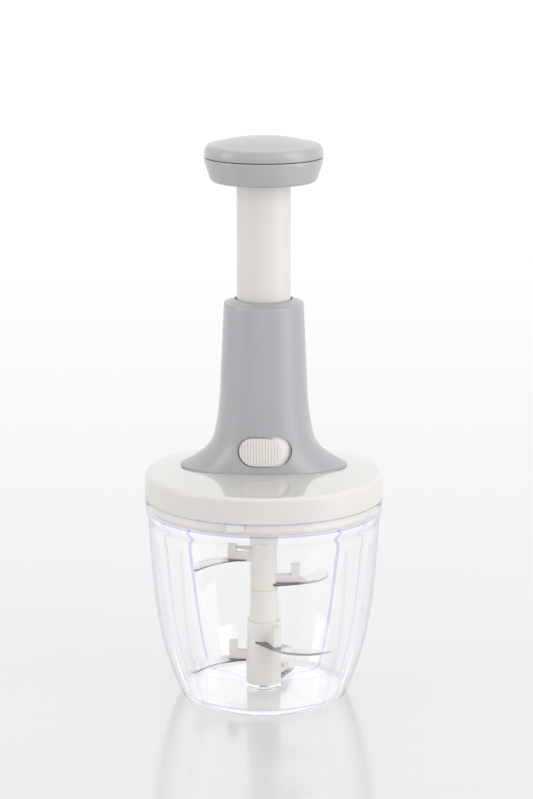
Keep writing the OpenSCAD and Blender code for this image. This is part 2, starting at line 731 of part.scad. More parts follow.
module lock_slider() {
    fall = slide_lean * slide_h;
    pitch = button_w / button_ribs;
    color(cream) rotate([0, 0, lock_rest]) union() {
        intersection() {
            rotate_extrude() polygon([[slide_face - slide_t, slide_z], [slide_face, slide_z],
                [slide_face - fall, slide_z + slide_h], [slide_face - fall - slide_t, slide_z + slide_h]]);
            translate([-slide_w / 2, -40, slide_z - 1]) cube([slide_w, 30, slide_h + 2]);
        }
        difference() {
            intersection() {
                front_slot(button_w, button_h, 15, 45);
                rotate_extrude() translate([slide_face - fall - slide_t / 2, slide_z])
                    square([button_r - slide_face + fall + slide_t / 2, slide_h]);
            }
            for (k = [1 : button_ribs - 1])
                let (x = (k - button_ribs / 2) * pitch, face = sqrt(button_r * button_r - x * x))
                translate([x - pitch / 4, -button_r - 5, slide_z])
                    cube([pitch / 2, 5 + button_r - face + rib_depth, slide_h]);
        }
        intersection() {
            rotate_extrude() translate([tongue_r, tongue_z])
                square([slide_face - fall - slide_t / 2 - tongue_r, tongue_h]);
            translate([-tongue_w / 2, -40, tongue_z - 1]) cube([tongue_w, 40, tongue_h + 2]);
        }
    }
}

// ---------- Plunger ----------

module plunger_tube() {
    color(cream) difference() {
        union() {
            translate([0, 0, flange_z]) cylinder(r = tube_r, h = tube_top - flange_z);
            translate([0, 0, flange_z]) cylinder(r = flange_r, h = flange_h);
        }
        difference() {
            translate([0, 0, flange_z - 1]) cylinder(r = tube_in, h = tube_top - web_t - flange_z + 1);
            for (a = nut_screw_turns) rotate([0, 0, a]) translate([knob_screw_r, 0, tube_top - web_t - knob_boss_h])
                cylinder(r = 2.4, h = knob_boss_h + 1);
        }
        for (s = [0, 180]) rotate([0, 0, s])
            translate([rail_r - part_gap, -rail_w / 2 - part_gap, flange_z - 1])
            cube([5, rail_w + 2 * part_gap, flange_h + 2]);
        rotate([0, 0, lock_rest]) translate([-tongue_w / 2 - tongue_gap, -flange_r - 2, flange_z - 1])
            cube([tongue_w + 2 * tongue_gap, flange_r + 2 - tongue_r + part_gap, flange_h + 2]);
        for (a = nut_screw_turns) rotate([0, 0, a]) {
            translate([nut_screw_r, 0, flange_z - 1]) cylinder(r = screw_r_small + seat_gap, h = 7);
            translate([knob_screw_r, 0, tube_top - 10]) cylinder(r = screw_r_big + seat_gap, h = 11);
        }
    }
}

// Cross-section of the three-start screw, grown by g
module screw_section(g) {
    polygon([for (k = [0 : section_points - 1])
        let (a = 360 * k / section_points, r = screw_r + g + screw_rib * cos(3 * a))
        [r * cos(a), r * sin(a)]]);
}

// The screw's body from z0 to z1; the turn is tied to z so that nut and rod stay in step
module helix(z0, z1, g) {
    turn = 360 * (z1 - z0) / lead;
    translate([0, 0, z0]) rotate([0, 0, -360 * z0 / lead])
        linear_extrude(z1 - z0, twist = turn, slices = ceil(turn / rise_per_ring), segments = section_points)
            screw_section(g);
}

module drive_nut() {
    color(white_pom) difference() {
        union() {
            translate([0, 0, nut_z]) cylinder(r = nut_flange_r, h = nut_flange_t - seat_gap);
            translate([0, 0, nut_z]) cylinder(r = tube_in - seat_gap, h = nut_top - nut_z);
        }
        helix(nut_z - 1, nut_top + 1, nut_gap);
        for (a = nut_screw_turns) rotate([0, 0, a]) translate([nut_screw_r, 0, nut_z - 1])
            cylinder(r = screw_r_small + hole_gap, h = nut_flange_t + 2);
    }
}

module nut_screws() {
    color(steel) for (a = nut_screw_turns) rotate([0, 0, a])
        translate([nut_screw_r, 0, nut_z - 1.3]) screw(screw_r_small, head_r_small, 1.25, 8.5);
}

module knob_base() {
    corner = [for (i = [0 : 5]) let (a = 90 * i / 5)
        [knob_under_r - knob_corner * (1 - sin(a)), knob_z + knob_corner * (1 - cos(a))]];
    lip = knob_seam - 3;
    color(grey) difference() {
        rotate_extrude() difference() {
            polygon(concat([[0, knob_z]], corner, [[knob_r, knob_seam - 0.5], [knob_r - 0.4, knob_seam],
                [0, knob_seam]]));
            polygon([[tube_r + socket_wall, knob_z + cup_wall],
                [knob_under_r - cup_wall - 1.5, knob_z + cup_wall],
                [knob_under_r - cup_wall, knob_z + cup_wall + 1.5],
                [knob_r - cup_wall - 0.9, lip], [knob_r - cup_wall - 0.3, knob_seam + 1],
                [0, knob_seam + 1], [0, tube_top + seat_gap + knob_web_t],
                [tube_r + socket_wall, tube_top + seat_gap + knob_web_t]]);
        }
        translate([0, 0, knob_z - 1]) cylinder(r = tube_r + seat_gap, h = tube_top - knob_z + 1 + seat_gap);
        for (a = nut_screw_turns) rotate([0, 0, a]) translate([knob_screw_r, 0, tube_top - 1])
            cylinder(r = screw_r_big + hole_gap, h = 6);
    }
}

module knob_cap() {
    foot = knob_seam + seat_gap;
    top = knob_seam + cap_h;
    side = 3.2;
    round = [for (i = [0 : 6]) let (a = 90 * i / 6)
        [crease_r + 0.7 + (knob_r - crease_r - 0.7) * cos(a), foot + side + (crease_h - side) * sin(a)]];
    dome_h = top - foot - crease_h;
    dome_points = [for (i = [0 : 5]) let (t = 1 - i / 5)
        [crease_r * t, foot + crease_h - 0.35 + (dome_h + 0.35) * (1 - t * t)]];
    lip_r = knob_r - cup_wall - 2.3;
    color(grey) rotate_extrude() {
        difference() {
            polygon(concat([[0, foot], [knob_r - 0.4, foot], [knob_r, foot + 0.4]], round, dome_points));
            polygon([[0, foot - 1], [lip_r, foot - 1], [lip_r, foot + 3],
                [crease_r - 4, foot + crease_h - 2], [crease_r / 2, top - 3.4], [0, top - cup_wall]]);
        }
        translate([lip_r, foot - 2]) square([1.3, 2.5]);
    }
}

module knob_screws() {
    color(steel) for (a = nut_screw_turns) rotate([0, 0, a])
        translate([knob_screw_r, 0, tube_top + knob_web_t + seat_gap + 1.9])
        rotate([180, 0, 0]) screw(screw_r_big, head_r_big, 1.8, 12);
}

// ---------- Drive ----------

module twist_rod() {
    color(white_pom) difference() {
        union() {
            helix(screw_z - 0.5, screw_top, 0);
            translate([0, 0, collar_z]) cylinder(r = collar_r, h = collar_h);
            translate([0, 0, driver_top]) cylinder(r = shank_r, h = collar_z - driver_top + 1);
            translate([0, 0, drive_hex_z + seat_gap]) hexagon(drive_hex_af, driver_top - drive_hex_z);
        }
        translate([0, 0, drive_hex_z - 1]) cylinder(r = screw_r_big + seat_gap, h = 10);
    }
}

module thrust_washer() {
    color(steel) translate([0, 0, washer_z]) difference() {
        cylinder(r = collar_r, h = washer_t - seat_gap);
        translate([0, 0, -1]) cylinder(r = shank_r + seat_gap, h = washer_t + 2);
    }
}

// Saw teeth hanging from z = 0 down, h deep; grow widens them into the notches they drop in
module saw_teeth(h, grow) {
    pitch = 360 / ratchet_teeth;
    w = 2 * 3.14159 * tooth_in / ratchet_teeth * 0.94;
    intersection() {
        rotate_extrude() translate([tooth_in - grow, -h - 1]) square([driver_r - tooth_in + 2 * grow, h + 2]);
        for (k = [0 : ratchet_teeth - 1]) rotate([0, 0, pitch * k]) rotate([90, 0, 90])
            linear_extrude(driver_r + 2)
            polygon([[-grow, 0.5], [-grow, -h - grow], [grow, -h - grow], [w + 2 * grow, 0], [w + 2 * grow, 0.5]]);
    }
}

module clutch_driver() {
    color(white_pom) difference() {
        union() {
            translate([0, 0, driver_z]) cylinder(r = driver_r, h = 3);
            translate([0, 0, driver_z]) cylinder(r = driver_r - 3, h = driver_top - driver_z);
            translate([0, 0, driver_z]) saw_teeth(ratchet_h, 0);
        }
        translate([0, 0, drive_hex_z]) hexagon(drive_hex_af + 2 * seat_gap, 20);
        translate([0, 0, driver_z - 1]) cylinder(r = screw_r_big + hole_gap, h = 5);
    }
}

module driver_screw() {
    color(steel) translate([0, 0, driver_z - 1.6]) screw(screw_r_big, 3, 1.55, 9);
}

module drive_coupler() {
    color(cream) difference() {
        union() {
            translate([0, 0, coupler_foot]) cylinder(r = coupler_r, h = coupler_flange_z - coupler_foot + 1);
            translate([0, 0, coupler_flange_z])
                cylinder(r = coupler_flange_r, h = crown_top - coupler_flange_z);
        }
        translate([0, 0, coupler_foot - 1])
            hexagon(stub_af + 0.4, stub_top - coupler_foot + 1 + part_gap);
        translate([0, 0, crown_z]) cylinder(r = tooth_in - part_gap + eps, h = 5);
        translate([0, 0, driver_z]) saw_teeth(ratchet_h, part_gap);
    }
}

bowl();
spindle_pin();
lower_blade_hub();
upper_blade_hub();
blade_1();
blade_2();
blade_3();
blade_4();
blade_5();
lid_cover();
lid_base();
seal_ring();
lid_screws();
housing();
bearing_plate();
housing_screws();
guide_sleeve();
guide_bush();
return_spring();
lock_slider();
plunger_tube();
drive_nut();
nut_screws();
knob_base();
knob_cap();
knob_screws();
twist_rod();
thrust_washer();
clutch_driver();
driver_screw();
drive_coupler();
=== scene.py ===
"""Looks of the press food chopper: clear fluted bowl, cream lid, grey trumpet housing and palm knob.

Metres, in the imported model's frame: origin at the centre of the bowl's foot, +Z up, the user at -Y.
Sizes below are written in millimetres and multiplied by MM.
"""
import json
import math

import bpy
import bmesh
from mathutils import Matrix, Vector


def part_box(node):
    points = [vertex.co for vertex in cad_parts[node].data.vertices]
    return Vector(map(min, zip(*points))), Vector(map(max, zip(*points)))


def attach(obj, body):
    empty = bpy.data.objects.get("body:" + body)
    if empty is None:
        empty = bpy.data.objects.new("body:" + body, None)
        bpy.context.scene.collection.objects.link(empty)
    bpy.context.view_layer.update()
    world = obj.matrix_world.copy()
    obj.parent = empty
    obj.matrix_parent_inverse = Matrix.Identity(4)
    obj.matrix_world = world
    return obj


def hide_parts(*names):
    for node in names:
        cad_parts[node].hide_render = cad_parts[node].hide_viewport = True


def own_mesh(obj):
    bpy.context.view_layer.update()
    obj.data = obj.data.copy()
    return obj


MM = 0.001
TAU = 2 * math.pi

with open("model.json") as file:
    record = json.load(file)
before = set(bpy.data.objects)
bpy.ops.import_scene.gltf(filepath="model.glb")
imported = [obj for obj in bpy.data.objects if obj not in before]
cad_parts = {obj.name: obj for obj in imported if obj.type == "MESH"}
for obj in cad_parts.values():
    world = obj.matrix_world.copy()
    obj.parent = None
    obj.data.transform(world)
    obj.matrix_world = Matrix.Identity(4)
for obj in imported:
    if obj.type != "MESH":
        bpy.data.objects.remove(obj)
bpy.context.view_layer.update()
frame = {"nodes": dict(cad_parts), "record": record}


# ---------- Camera ----------

PHOTO_SIZE = (533, 799)            # the photograph's frame, in pixels
CAMERA_PLACE = (1.6, -1501, 517.7)  # mm
CAMERA_PITCH = 12.68               # degrees below the horizon
FOCAL_PIXELS = 2598.6
SENSOR = 36                        # mm, along the frame's long side


def make_camera():
    """A camera at the photograph's viewing angle."""
    data = bpy.data.cameras.new("camera")
    data.sensor_width = SENSOR
    data.lens = FOCAL_PIXELS / PHOTO_SIZE[1] * SENSOR
    data.clip_start = 0.05
    data.clip_end = 50
    camera = bpy.data.objects.new("camera", data)
    camera.location = Vector(CAMERA_PLACE) * MM
    camera.rotation_euler = (math.radians(90 - CAMERA_PITCH), 0, 0)
    bpy.context.scene.collection.objects.link(camera)
    bpy.context.scene.camera = camera


# ---------- Shader nodes ----------

NOISE_SPAN = (0.3, 0.7)     # the part of a noise's range that is in use


def new_material(name):
    """A material with its node tree and its Principled shader."""
    material = bpy.data.materials.new(name)
    material.use_nodes = True
    return material, material.node_tree, material.node_tree.nodes["Principled BSDF"]


def object_place(tree):
    """The object's own coordinates, in metres."""
    return tree.nodes.new("ShaderNodeTexCoord").outputs["Object"]


def split_vector(tree, vector):
    """Sockets X, Y and Z of a vector."""
    node = tree.nodes.new("ShaderNodeSeparateXYZ")
    tree.links.new(vector, node.inputs["Vector"])
    return node.outputs


def vector_length(tree, vector):
    node = tree.nodes.new("ShaderNodeVectorMath")
    node.operation = "LENGTH"
    tree.links.new(vector, node.inputs[0])
    return node.outputs["Value"]


def math_node(tree, operation, first, second=None, third=None):
    """A math node; the inputs are sockets or plain numbers."""
    node = tree.nodes.new("ShaderNodeMath")
    node.operation = operation
    for socket, value in zip(node.inputs, (first, second, third)):
        if value is None:
            continue
        if isinstance(value, (int, float)):
            socket.default_value = value
        else:
            tree.links.new(value, socket)
    return node.outputs["Value"]


def map_range(tree, value, span, result):
    """Maps a number from a span to a result, and holds it inside the result's ends."""
    node = tree.nodes.new("ShaderNodeMapRange")
    node.inputs["From Min"].default_value, node.inputs["From Max"].default_value = span
    node.inputs["To Min"].default_value, node.inputs["To Max"].default_value = result
    tree.links.new(value, node.inputs["Value"])
    return node.outputs["Result"]


def band(tree, value, centre, half_width):
    """1 where a number is at the centre, falling to 0 at half_width from it."""
    away = math_node(tree, "ABSOLUTE", math_node(tree, "SUBTRACT", value, centre))
    return math_node(tree, "SUBTRACT", 1, math_node(tree, "DIVIDE", away, half_width))


def blend(tree, factor, first, second, how="MIX"):
    """Blends two colours; each is a socket or three numbers."""
    node = tree.nodes.new("ShaderNodeMix")
    node.data_type = "RGBA"
    node.blend_type = how
    tree.links.new(factor, node.inputs["Factor"])
    for name, colour in (("A", first), ("B", second)):
        if isinstance(colour, tuple):
            node.inputs[name].default_value = (*colour, 1)
        else:
            tree.links.new(colour, node.inputs[name])
    return node.outputs["Result"]


def lay_over(tree, shader, factor, colour, how="MIX"):
    """Lays a colour over the shader's own base colour where the factor is 1."""
    socket = shader.inputs["Base Color"]
    plain = socket.links[0].from_socket
    tree.links.new(blend(tree, factor, plain, colour, how), socket)


def two_colours(tree, factor, low, high, ends, socket):
    """Links a ramp between two colours, which stand at the given ends of the factor."""
    ramp = tree.nodes.new("ShaderNodeValToRGB")
    for element, colour, position in zip(ramp.color_ramp.elements, (low, high), ends):
        element.color = (*colour, 1)
        element.position = position
    tree.links.new(factor, ramp.inputs["Fac"])
    tree.links.new(ramp.outputs["Color"], socket)


def transparent(tree, colour):
    """A transparent shader; the colour is a socket or three numbers."""
    node = tree.nodes.new("ShaderNodeBsdfTransparent")
    if isinstance(colour, tuple):
        node.inputs["Color"].default_value = (*colour, 1)
    else:
        tree.links.new(colour, node.inputs["Color"])
    return node.outputs["BSDF"]


def mix_shaders(tree, factor, first, second):
    node = tree.nodes.new("ShaderNodeMixShader")
    for source, socket in zip((factor, first, second), node.inputs):
        tree.links.new(source, socket)
    return node.outputs["Shader"]


def seen_directly(tree):
    """1 for camera, glossy and transmission rays, 0 for the rays that light the object."""
    path = tree.nodes.new("ShaderNodeLightPath").outputs
    either = math_node(tree, "MAXIMUM", path["Is Camera Ray"], path["Is Transmission Ray"])
    return math_node(tree, "MAXIMUM", either, path["Is Glossy Ray"])


def add_noise(tree, scale, detail, stretch=(1, 1, 1)):
    """A noise texture in the object's own coordinates."""
    mapping = tree.nodes.new("ShaderNodeMapping")
    mapping.inputs["Scale"].default_value = stretch
    noise = tree.nodes.new("ShaderNodeTexNoise")
    noise.inputs["Scale"].default_value = scale
    noise.inputs["Detail"].default_value = detail
    tree.links.new(object_place(tree), mapping.inputs["Vector"])
    tree.links.new(mapping.outputs["Vector"], noise.inputs["Vector"])
    return noise.outputs["Fac"]


def vary(tree, noise, low, high, socket):
    """Maps the noise to the range low to high on a number socket."""
    tree.links.new(map_range(tree, noise, NOISE_SPAN, (low, high)), socket)


def bump(tree, shader, noise, distance, strength):
    """Lets the noise ripple the surface; the distance is in metres."""
    node = tree.nodes.new("ShaderNodeBump")
    node.inputs["Distance"].default_value = distance
    node.inputs["Strength"].default_value = strength
    tree.links.new(noise, node.inputs["Height"])
    tree.links.new(node.outputs["Normal"], shader.inputs["Normal"])


# ---------- Plastics and steels ----------

CREAM = (0.78, 0.755, 0.715)
# Painted shade: the lid's glossy top takes a darker copy of CREAM.
LID_TOP_SHADED_CREAM = (0.71, 0.69, 0.655)
# Painted light: a lighter copy of CREAM for the lid's plug, the drive coupler and the slider, which sit in
# shade.
LIGHTENED_CREAM = (0.88, 0.855, 0.815)
# Painted light: a lighter copy of CREAM for the column inside the bowl.
LIGHTENED_COLUMN_CREAM = (0.865, 0.835, 0.785)
GREY = (0.415, 0.421, 0.438)
KNOB_GREY = (0.44, 0.445, 0.46)
WHITE = (0.80, 0.80, 0.78)
SILICONE = (0.82, 0.80, 0.77)
BLADE_STEEL = (0.93, 0.93, 0.94)
BLADE_SHADE = (0.5, 0.5, 0.5)
# Painted shade: a darker copy of the steel for the blades' upright edges, which are also rougher.
SHADED_EDGE_STEEL = (0.42, 0.42, 0.43)
EDGE_SHADE = (0.1, 0.1, 0.1)
FASTENER_STEEL = (0.5, 0.51, 0.53)

IMAGE_SHADE = (0.55, 0.55, 0.55)    # how much of the plastics' colour their mirror images keep
TINT_ENDS = (0.35, 0.65)            # the noise values where the two tints of a surface stand
GRIND_TINT = 0.86                   # the darker of the steel's two tints
BLADE_GRAIN = (1, 1, 6)             # how the grinding lines are stretched
FASTENER_GRAIN = (1, 1, 4)
# Painted line of light at the column's seam: its height, its half width and its colour.
SEAM_LINE_Z = 64.1                  # mm, the seam between the column's halves
SEAM_LINE_W = 0.8                   # mm, to either side of it
SEAM_GLOW = (0.86, 0.66, 0.5)
SHADE_REACH = (0.021, 0.027)        # metres from the column's axis, where the blades' shade ends

SATIN = {"spread": 0.012, "roughness": 0.34, "coat": 0.2, "waviness": 0.000005, "coat_roughness": 0.25}
SATIN_GREY = {"spread": 0.015, "roughness": 0.34, "coat": 0.5, "waviness": 0.00001, "coat_roughness": 0.25}
PALM_GREY = {"spread": 0.015, "roughness": 0.34, "coat": 0.6, "waviness": 0.00001, "coat_roughness": 0.2}
HIGH_GLOSS = {"spread": 0.012, "roughness": 0.06, "coat": 1, "waviness": 0.000004, "coat_roughness": 0.03,
              "coat_ior": 1.9}
PLAIN = {"spread": 0.012, "roughness": 0.45, "coat": 0, "waviness": 0.00003}
RUBBERY = {"spread": 0.01, "roughness": 0.5, "coat": 0, "waviness": 0.00002}


def moulded_plastic(name, colour, spread, roughness, coat, waviness, coat_roughness=0.05, coat_ior=1.5):
    """Injection-moulded plastic: a breath of colour drift, uneven gloss and moulding waviness."""
    material, tree, shader = new_material(name)
    darker = [c * (1 - spread) for c in colour]
    lighter = [min(1, c * (1 + spread)) for c in colour]
    two_colours(tree, add_noise(tree, 9, 2), darker, lighter, TINT_ENDS, shader.inputs["Base Color"])
    darken_images(tree, shader)
    vary(tree, add_noise(tree, 60, 4), roughness * 0.85, roughness * 1.2, shader.inputs["Roughness"])
    bump(tree, shader, add_noise(tree, 45, 2), waviness, 0.4)
    shader.inputs["IOR"].default_value = 1.5
    shader.inputs["Coat Weight"].default_value = coat
    shader.inputs["Coat Roughness"].default_value = coat_roughness
    shader.inputs["Coat IOR"].default_value = coat_ior
    return material


def darken_images(tree, shader):
    """Deepens the plastic's colour in its mirror images in the floor, the bowl and the lid."""
    path = tree.nodes.new("ShaderNodeLightPath").outputs
    in_image = math_node(tree, "GREATER_THAN", path["Glossy Depth"], 0.5)
    lay_over(tree, shader, in_image, IMAGE_SHADE, "MULTIPLY")


def paint_seam_light(material):
    """Paints a warm line of light into the column's colour at the seam between its halves."""
    tree = material.node_tree
    z = split_vector(tree, object_place(tree))["Z"]
    line = math_node(tree, "MAXIMUM", band(tree, z, SEAM_LINE_Z * MM, SEAM_LINE_W * MM), 0)
    lay_over(tree, tree.nodes["Principled BSDF"], line, SEAM_GLOW)


def ground_steel(name, colour, roughness, along):
    """Steel with fine grinding lines, stretched by the numbers in along."""
    material, tree, shader = new_material(name)
    lines = add_noise(tree, 500, 3, along)
    darker = [c * GRIND_TINT for c in colour]
    two_colours(tree, lines, darker, colour, TINT_ENDS, shader.inputs["Base Color"])
    vary(tree, lines, roughness * 0.9, roughness * 1.1, shader.inputs["Roughness"])
    bump(tree, shader, lines, 0.000002, 0.3)
    shader.inputs["Metallic"].default_value = 1
    return material


def shade_by_reach(material, colour):
    """Darkens a blade's steel near the column, where it mirrors the arms."""
    tree = material.node_tree
    flat = tree.nodes.new("ShaderNodeVectorMath")
    flat.operation = "MULTIPLY"
    flat.inputs[1].default_value = (1, 1, 0)
    tree.links.new(object_place(tree), flat.inputs[0])
    reach = vector_length(tree, flat.outputs["Vector"])
    lay_over(tree, tree.nodes["Principled BSDF"], map_range(tree, reach, SHADE_REACH, (1, 0)), colour)


# ---------- Clear styrene ----------

STYRENE = (0.997, 0.997, 1)
EDGE_TINT_AND_LINE_SHADE = (0.27, 0.29, 0.82)       # its violet-blue where it is seen edge on, and the colour of the painted lines of shade at its creases, rim and shoulder
STYRENE_IOR = 1.4
UNBENT = (0.995, 0.995, 1)              # for the rays that pass straight through
TRAPPED = 4.5                           # bounces after which a ray is let out of the wall
HAZE = (0.9, 0.9, 0.96)                 # the wall where it slants
# Painted shade: the same wall, darker in its mirror images.
IMAGE_HAZE_SHADE = (0.62, 0.62, 0.63)
ABSORBED = (0.55, 0.52, 0.9)
ABSORB_DENSITY = 1.5
STRONG_CREASE = (45, 0.016)             # of the painted crease lines: degrees from the X axis, and half width in radians
FAINT_CREASE = (22.5, 0.013)
FRONT_FADE = 0.72                       # how much fainter the painted crease lines are at the front
# strength of the painted line of shade at the rim and the shoulder
RIM_LINE_SHADE = 0.7


def painted_edge_lines(tree):
    """Painted violet lines of shade where the bowl's wall would be seen edge on: the creases between its
    panels, the rim and the shoulder, placed by height and angle on the bowl.
    """
    x, y, z = split_vector(tree, object_place(tree))
    turn = math_node(tree, "ARCTAN2", math_node(tree, "ABSOLUTE", y), math_node(tree, "ABSOLUTE", x))
    strong, faint = (band(tree, turn, math.radians(a), w) for a, w in (STRONG_CREASE, FAINT_CREASE))
    painted_crease_line = math_node(tree, "MAXIMUM", strong, faint)
    below_rim = math_node(tree, "LESS_THAN", z, (NECK_Z - 5) * MM)
    above_floor = math_node(tree, "GREATER_THAN", z, 2 * MM)
    painted_crease_line = math_node(tree, "MULTIPLY", painted_crease_line, math_node(tree, "MULTIPLY", below_rim, above_floor))
    front = math_node(tree, "LESS_THAN", y, 0)
    painted_crease_line = math_node(tree, "MULTIPLY", painted_crease_line, math_node(tree, "MULTIPLY_ADD", front, -FRONT_FADE, 1))
    # Painted lines of shade at the rim's top and at the plug's foot.
    rim = math_node(tree, "MAXIMUM", band(tree, z, (RIM_TOP - 0.2) * MM, 0.9 * MM),
                    band(tree, z, (PLUG_Z - 0.1) * MM, 0.7 * MM))
    rim = math_node(tree, "MULTIPLY", rim, RIM_LINE_SHADE)
    return math_node(tree, "MAXIMUM", math_node(tree, "MAXIMUM", painted_crease_line, rim), 0)


def clear_plastic(name):
    """Clear styrene: clean glass look with a violet-blue tint where it is seen edge on, and painted violet
    lines of shade at its creases, rim and shoulder.
    """
    material, tree, shader = new_material(name)
    shader.inputs["Transmission Weight"].default_value = 1
    shader.inputs["IOR"].default_value = STYRENE_IOR
    facing = tree.nodes.new("ShaderNodeLayerWeight").outputs["Facing"]
    # The violet-blue where the wall turns away, together with the painted lines of shade.
    edge = math_node(tree, "MAXIMUM", map_range(tree, facing, (0.8, 1), (0, 0.4)), painted_edge_lines(tree))
    two_colours(tree, edge, STYRENE, EDGE_TINT_AND_LINE_SHADE, (0, 1), shader.inputs["Base Color"])
    vary(tree, add_noise(tree, 40, 2), 0, 0.03, shader.inputs["Roughness"])

    path = tree.nodes.new("ShaderNodeLightPath").outputs
    outside = math_node(tree, "LESS_THAN", path["Transmission Depth"], 0.5)
    # Painted shade: in mirror images the wall turns to a darker see-through.
    in_image = math_node(tree, "GREATER_THAN", path["Glossy Depth"], 0.5)
    in_image = math_node(tree, "MULTIPLY", outside, in_image)
    haze = transparent(tree, blend(tree, in_image, HAZE, IMAGE_HAZE_SHADE))
    slanting = map_range(tree, facing, (0.72, 0.93), (0, 0.85))
    mirrored = math_node(tree, "MULTIPLY", map_range(tree, facing, (0.45, 0.8), (0, 0.8)), in_image)
    wall = mix_shaders(tree, math_node(tree, "MAXIMUM", slanting, mirrored), shader.outputs["BSDF"], haze)

    unbent = math_node(tree, "MAXIMUM", path["Is Shadow Ray"], path["Is Diffuse Ray"])
    unbent = math_node(tree, "MAXIMUM", unbent, math_node(tree, "GREATER_THAN", path["Ray Depth"], TRAPPED))
    output = tree.nodes["Material Output"]
    tree.links.new(mix_shaders(tree, unbent, wall, transparent(tree, UNBENT)), output.inputs["Surface"])
    absorb = tree.nodes.new("ShaderNodeVolumeAbsorption")
    absorb.inputs["Color"].default_value = (*ABSORBED, 1)
    absorb.inputs["Density"].default_value = ABSORB_DENSITY
    tree.links.new(absorb.outputs["Volume"], output.inputs["Volume"])
    return material


# ---------- Materials of the pieces ----------

COLUMN_HALVES = ("lower_blade_hub", "upper_blade_hub")
# Nodes that take a lighter copy of the cream: painted light.
LIGHTENED_NODES = ("drive_coupler", "lid_base")
EDGE_BREAK = 0.12       # mm


def make_materials():
    plastics = {
        "cream_plastic": (CREAM, SATIN),
        "lid_gloss_and_shade": (LID_TOP_SHADED_CREAM, HIGH_GLOSS),
        "lightened_cream_plastic": (LIGHTENED_CREAM, SATIN),
        "lightened_column_plastic": (LIGHTENED_COLUMN_CREAM, SATIN),
        "grey_plastic": (GREY, SATIN_GREY),
        "knob_plastic": (KNOB_GREY, PALM_GREY),
        "white_plastic": (WHITE, PLAIN),
        "silicone": (SILICONE, RUBBERY),
    }
    made = {name: moulded_plastic(name, colour, **finish) for name, (colour, finish) in plastics.items()}
    # Painted light: a warm line at the column's seam.
    paint_seam_light(made["lightened_column_plastic"])
    steels = {
        "blade_steel": (BLADE_STEEL, 0.24, BLADE_GRAIN),
        "shaded_edge_steel": (SHADED_EDGE_STEEL, 0.34, BLADE_GRAIN),
        "fastener_steel": (FASTENER_STEEL, 0.32, FASTENER_GRAIN),
    }
    made.update({name: ground_steel(name, *finish) for name, finish in steels.items()})
    shade_by_reach(made["blade_steel"], BLADE_SHADE)
    shade_by_reach(made["shaded_edge_steel"], EDGE_SHADE)
    made["clear_plastic"] = clear_plastic("clear_plastic")
    return made


def dress_cad_nodes():
    """Every CAD node gets its slot's material and smooth shading with crisp edges."""
    slots = {s["node"]: s["material_slot"] for s in frame["record"]["subparts"]}
    for name, node in frame["nodes"].items():
        node.data.materials.clear()
        node.data.materials.append(materials[slots[name]])
        smooth(node)
    # The column takes a lighter copy of the cream: painted light.
    for name in COLUMN_HALVES:
        frame["nodes"][name].data.materials[0] = materials["lightened_column_plastic"]
    # These nodes take a lighter copy of the cream: painted light.
    for name in LIGHTENED_NODES:
        frame["nodes"][name].data.materials[0] = materials["lightened_cream_plastic"]
    for name in COLUMN_HALVES + LIGHTENED_NODES:
        bevel(frame["nodes"][name], EDGE_BREAK)


def bevel(piece, width):
    """Breaks the sharp edges of a moulding."""
    modifier = piece.modifiers.new("edges", "BEVEL")
    modifier.width = width * MM
    modifier.segments = 2
    modifier.limit_method = "ANGLE"
    modifier.angle_limit = math.radians(40)
    modifier.harden_normals = True


# ---------- Mesh helpers ----------

def smooth(piece, angle=35):
    """Shades a piece smooth, with crisp edges where its faces meet at more than the angle in degrees."""
    for face in piece.data.polygons:
        face.use_smooth = True
    mesh = bmesh.new()
    mesh.from_mesh(piece.data)
    limit = math.radians(angle)
    for edge in mesh.edges:
        edge.smooth = len(edge.link_faces) == 2 and edge.calc_face_angle(0) < limit
    mesh.to_mesh(piece.data)
    mesh.free()


def add_piece(name, points, faces, slot, body, nodes=()):
    """A mesh piece from points in mm, with its material, that rides on a body and replaces CAD nodes."""
    data = bpy.data.meshes.new(name)
    data.from_pydata([[c * MM for c in p] for p in points], [], faces)
    data.update()
    piece = bpy.data.objects.new(name, data)
    bpy.context.scene.collection.objects.link(piece)
    finish_mesh(piece)
    data.materials.append(materials[slot])
    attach(piece, body)
    if nodes:
        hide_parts(*nodes)
    return piece


def finish_mesh(piece):
    """Merges doubles, points the faces outwards and shades them smooth."""
    mesh = bmesh.new()
    mesh.from_mesh(piece.data)
    bmesh.ops.remove_doubles(mesh, verts=mesh.verts, dist=1e-7)
    bmesh.ops.recalc_face_normals(mesh, faces=mesh.faces)
    mesh.to_mesh(piece.data)
    mesh.free()
    smooth(piece)


def ring_grid(rows, around):
    """Faces between rows of points that close round the axis; the rows are stacked in one list."""
    faces = []
    for j in range(rows - 1):
        for k in range(around):
            m = (k + 1) % around
            faces.append((j * around + k, j * around + m, (j + 1) * around + m, (j + 1) * around + k))
    return faces


def close_bore(rows, around):
    """Faces from the last row of a ring grid back to its first, for a solid with a bore."""
    last = (rows - 1) * around
    return [(last + k, last + (k + 1) % around, (k + 1) % around, k) for k in range(around)]


def oval(rx, ry, z, around):
    """A closed row of points about the axis."""
    return [(rx * math.cos(TAU * k / around), ry * math.sin(TAU * k / around), z) for k in range(around)]


def sweep_round(profile, around, radius=None):
    """Points and faces of a closed profile turned about Z. radius(r, z, a, j) may vary it."""
    points = []
    for j, (r, z) in enumerate(profile):
        for k in range(around):
            a = TAU * k / around
            q = radius(r, z, a, j) if radius else r
            points.append((q * math.cos(a), q * math.sin(a), z))
    faces = ring_grid(len(profile), around)
    last = (len(profile) - 1) * around
    faces.append(tuple(range(around)))
    faces.append(tuple(range(last, last + around)))
    return points, faces


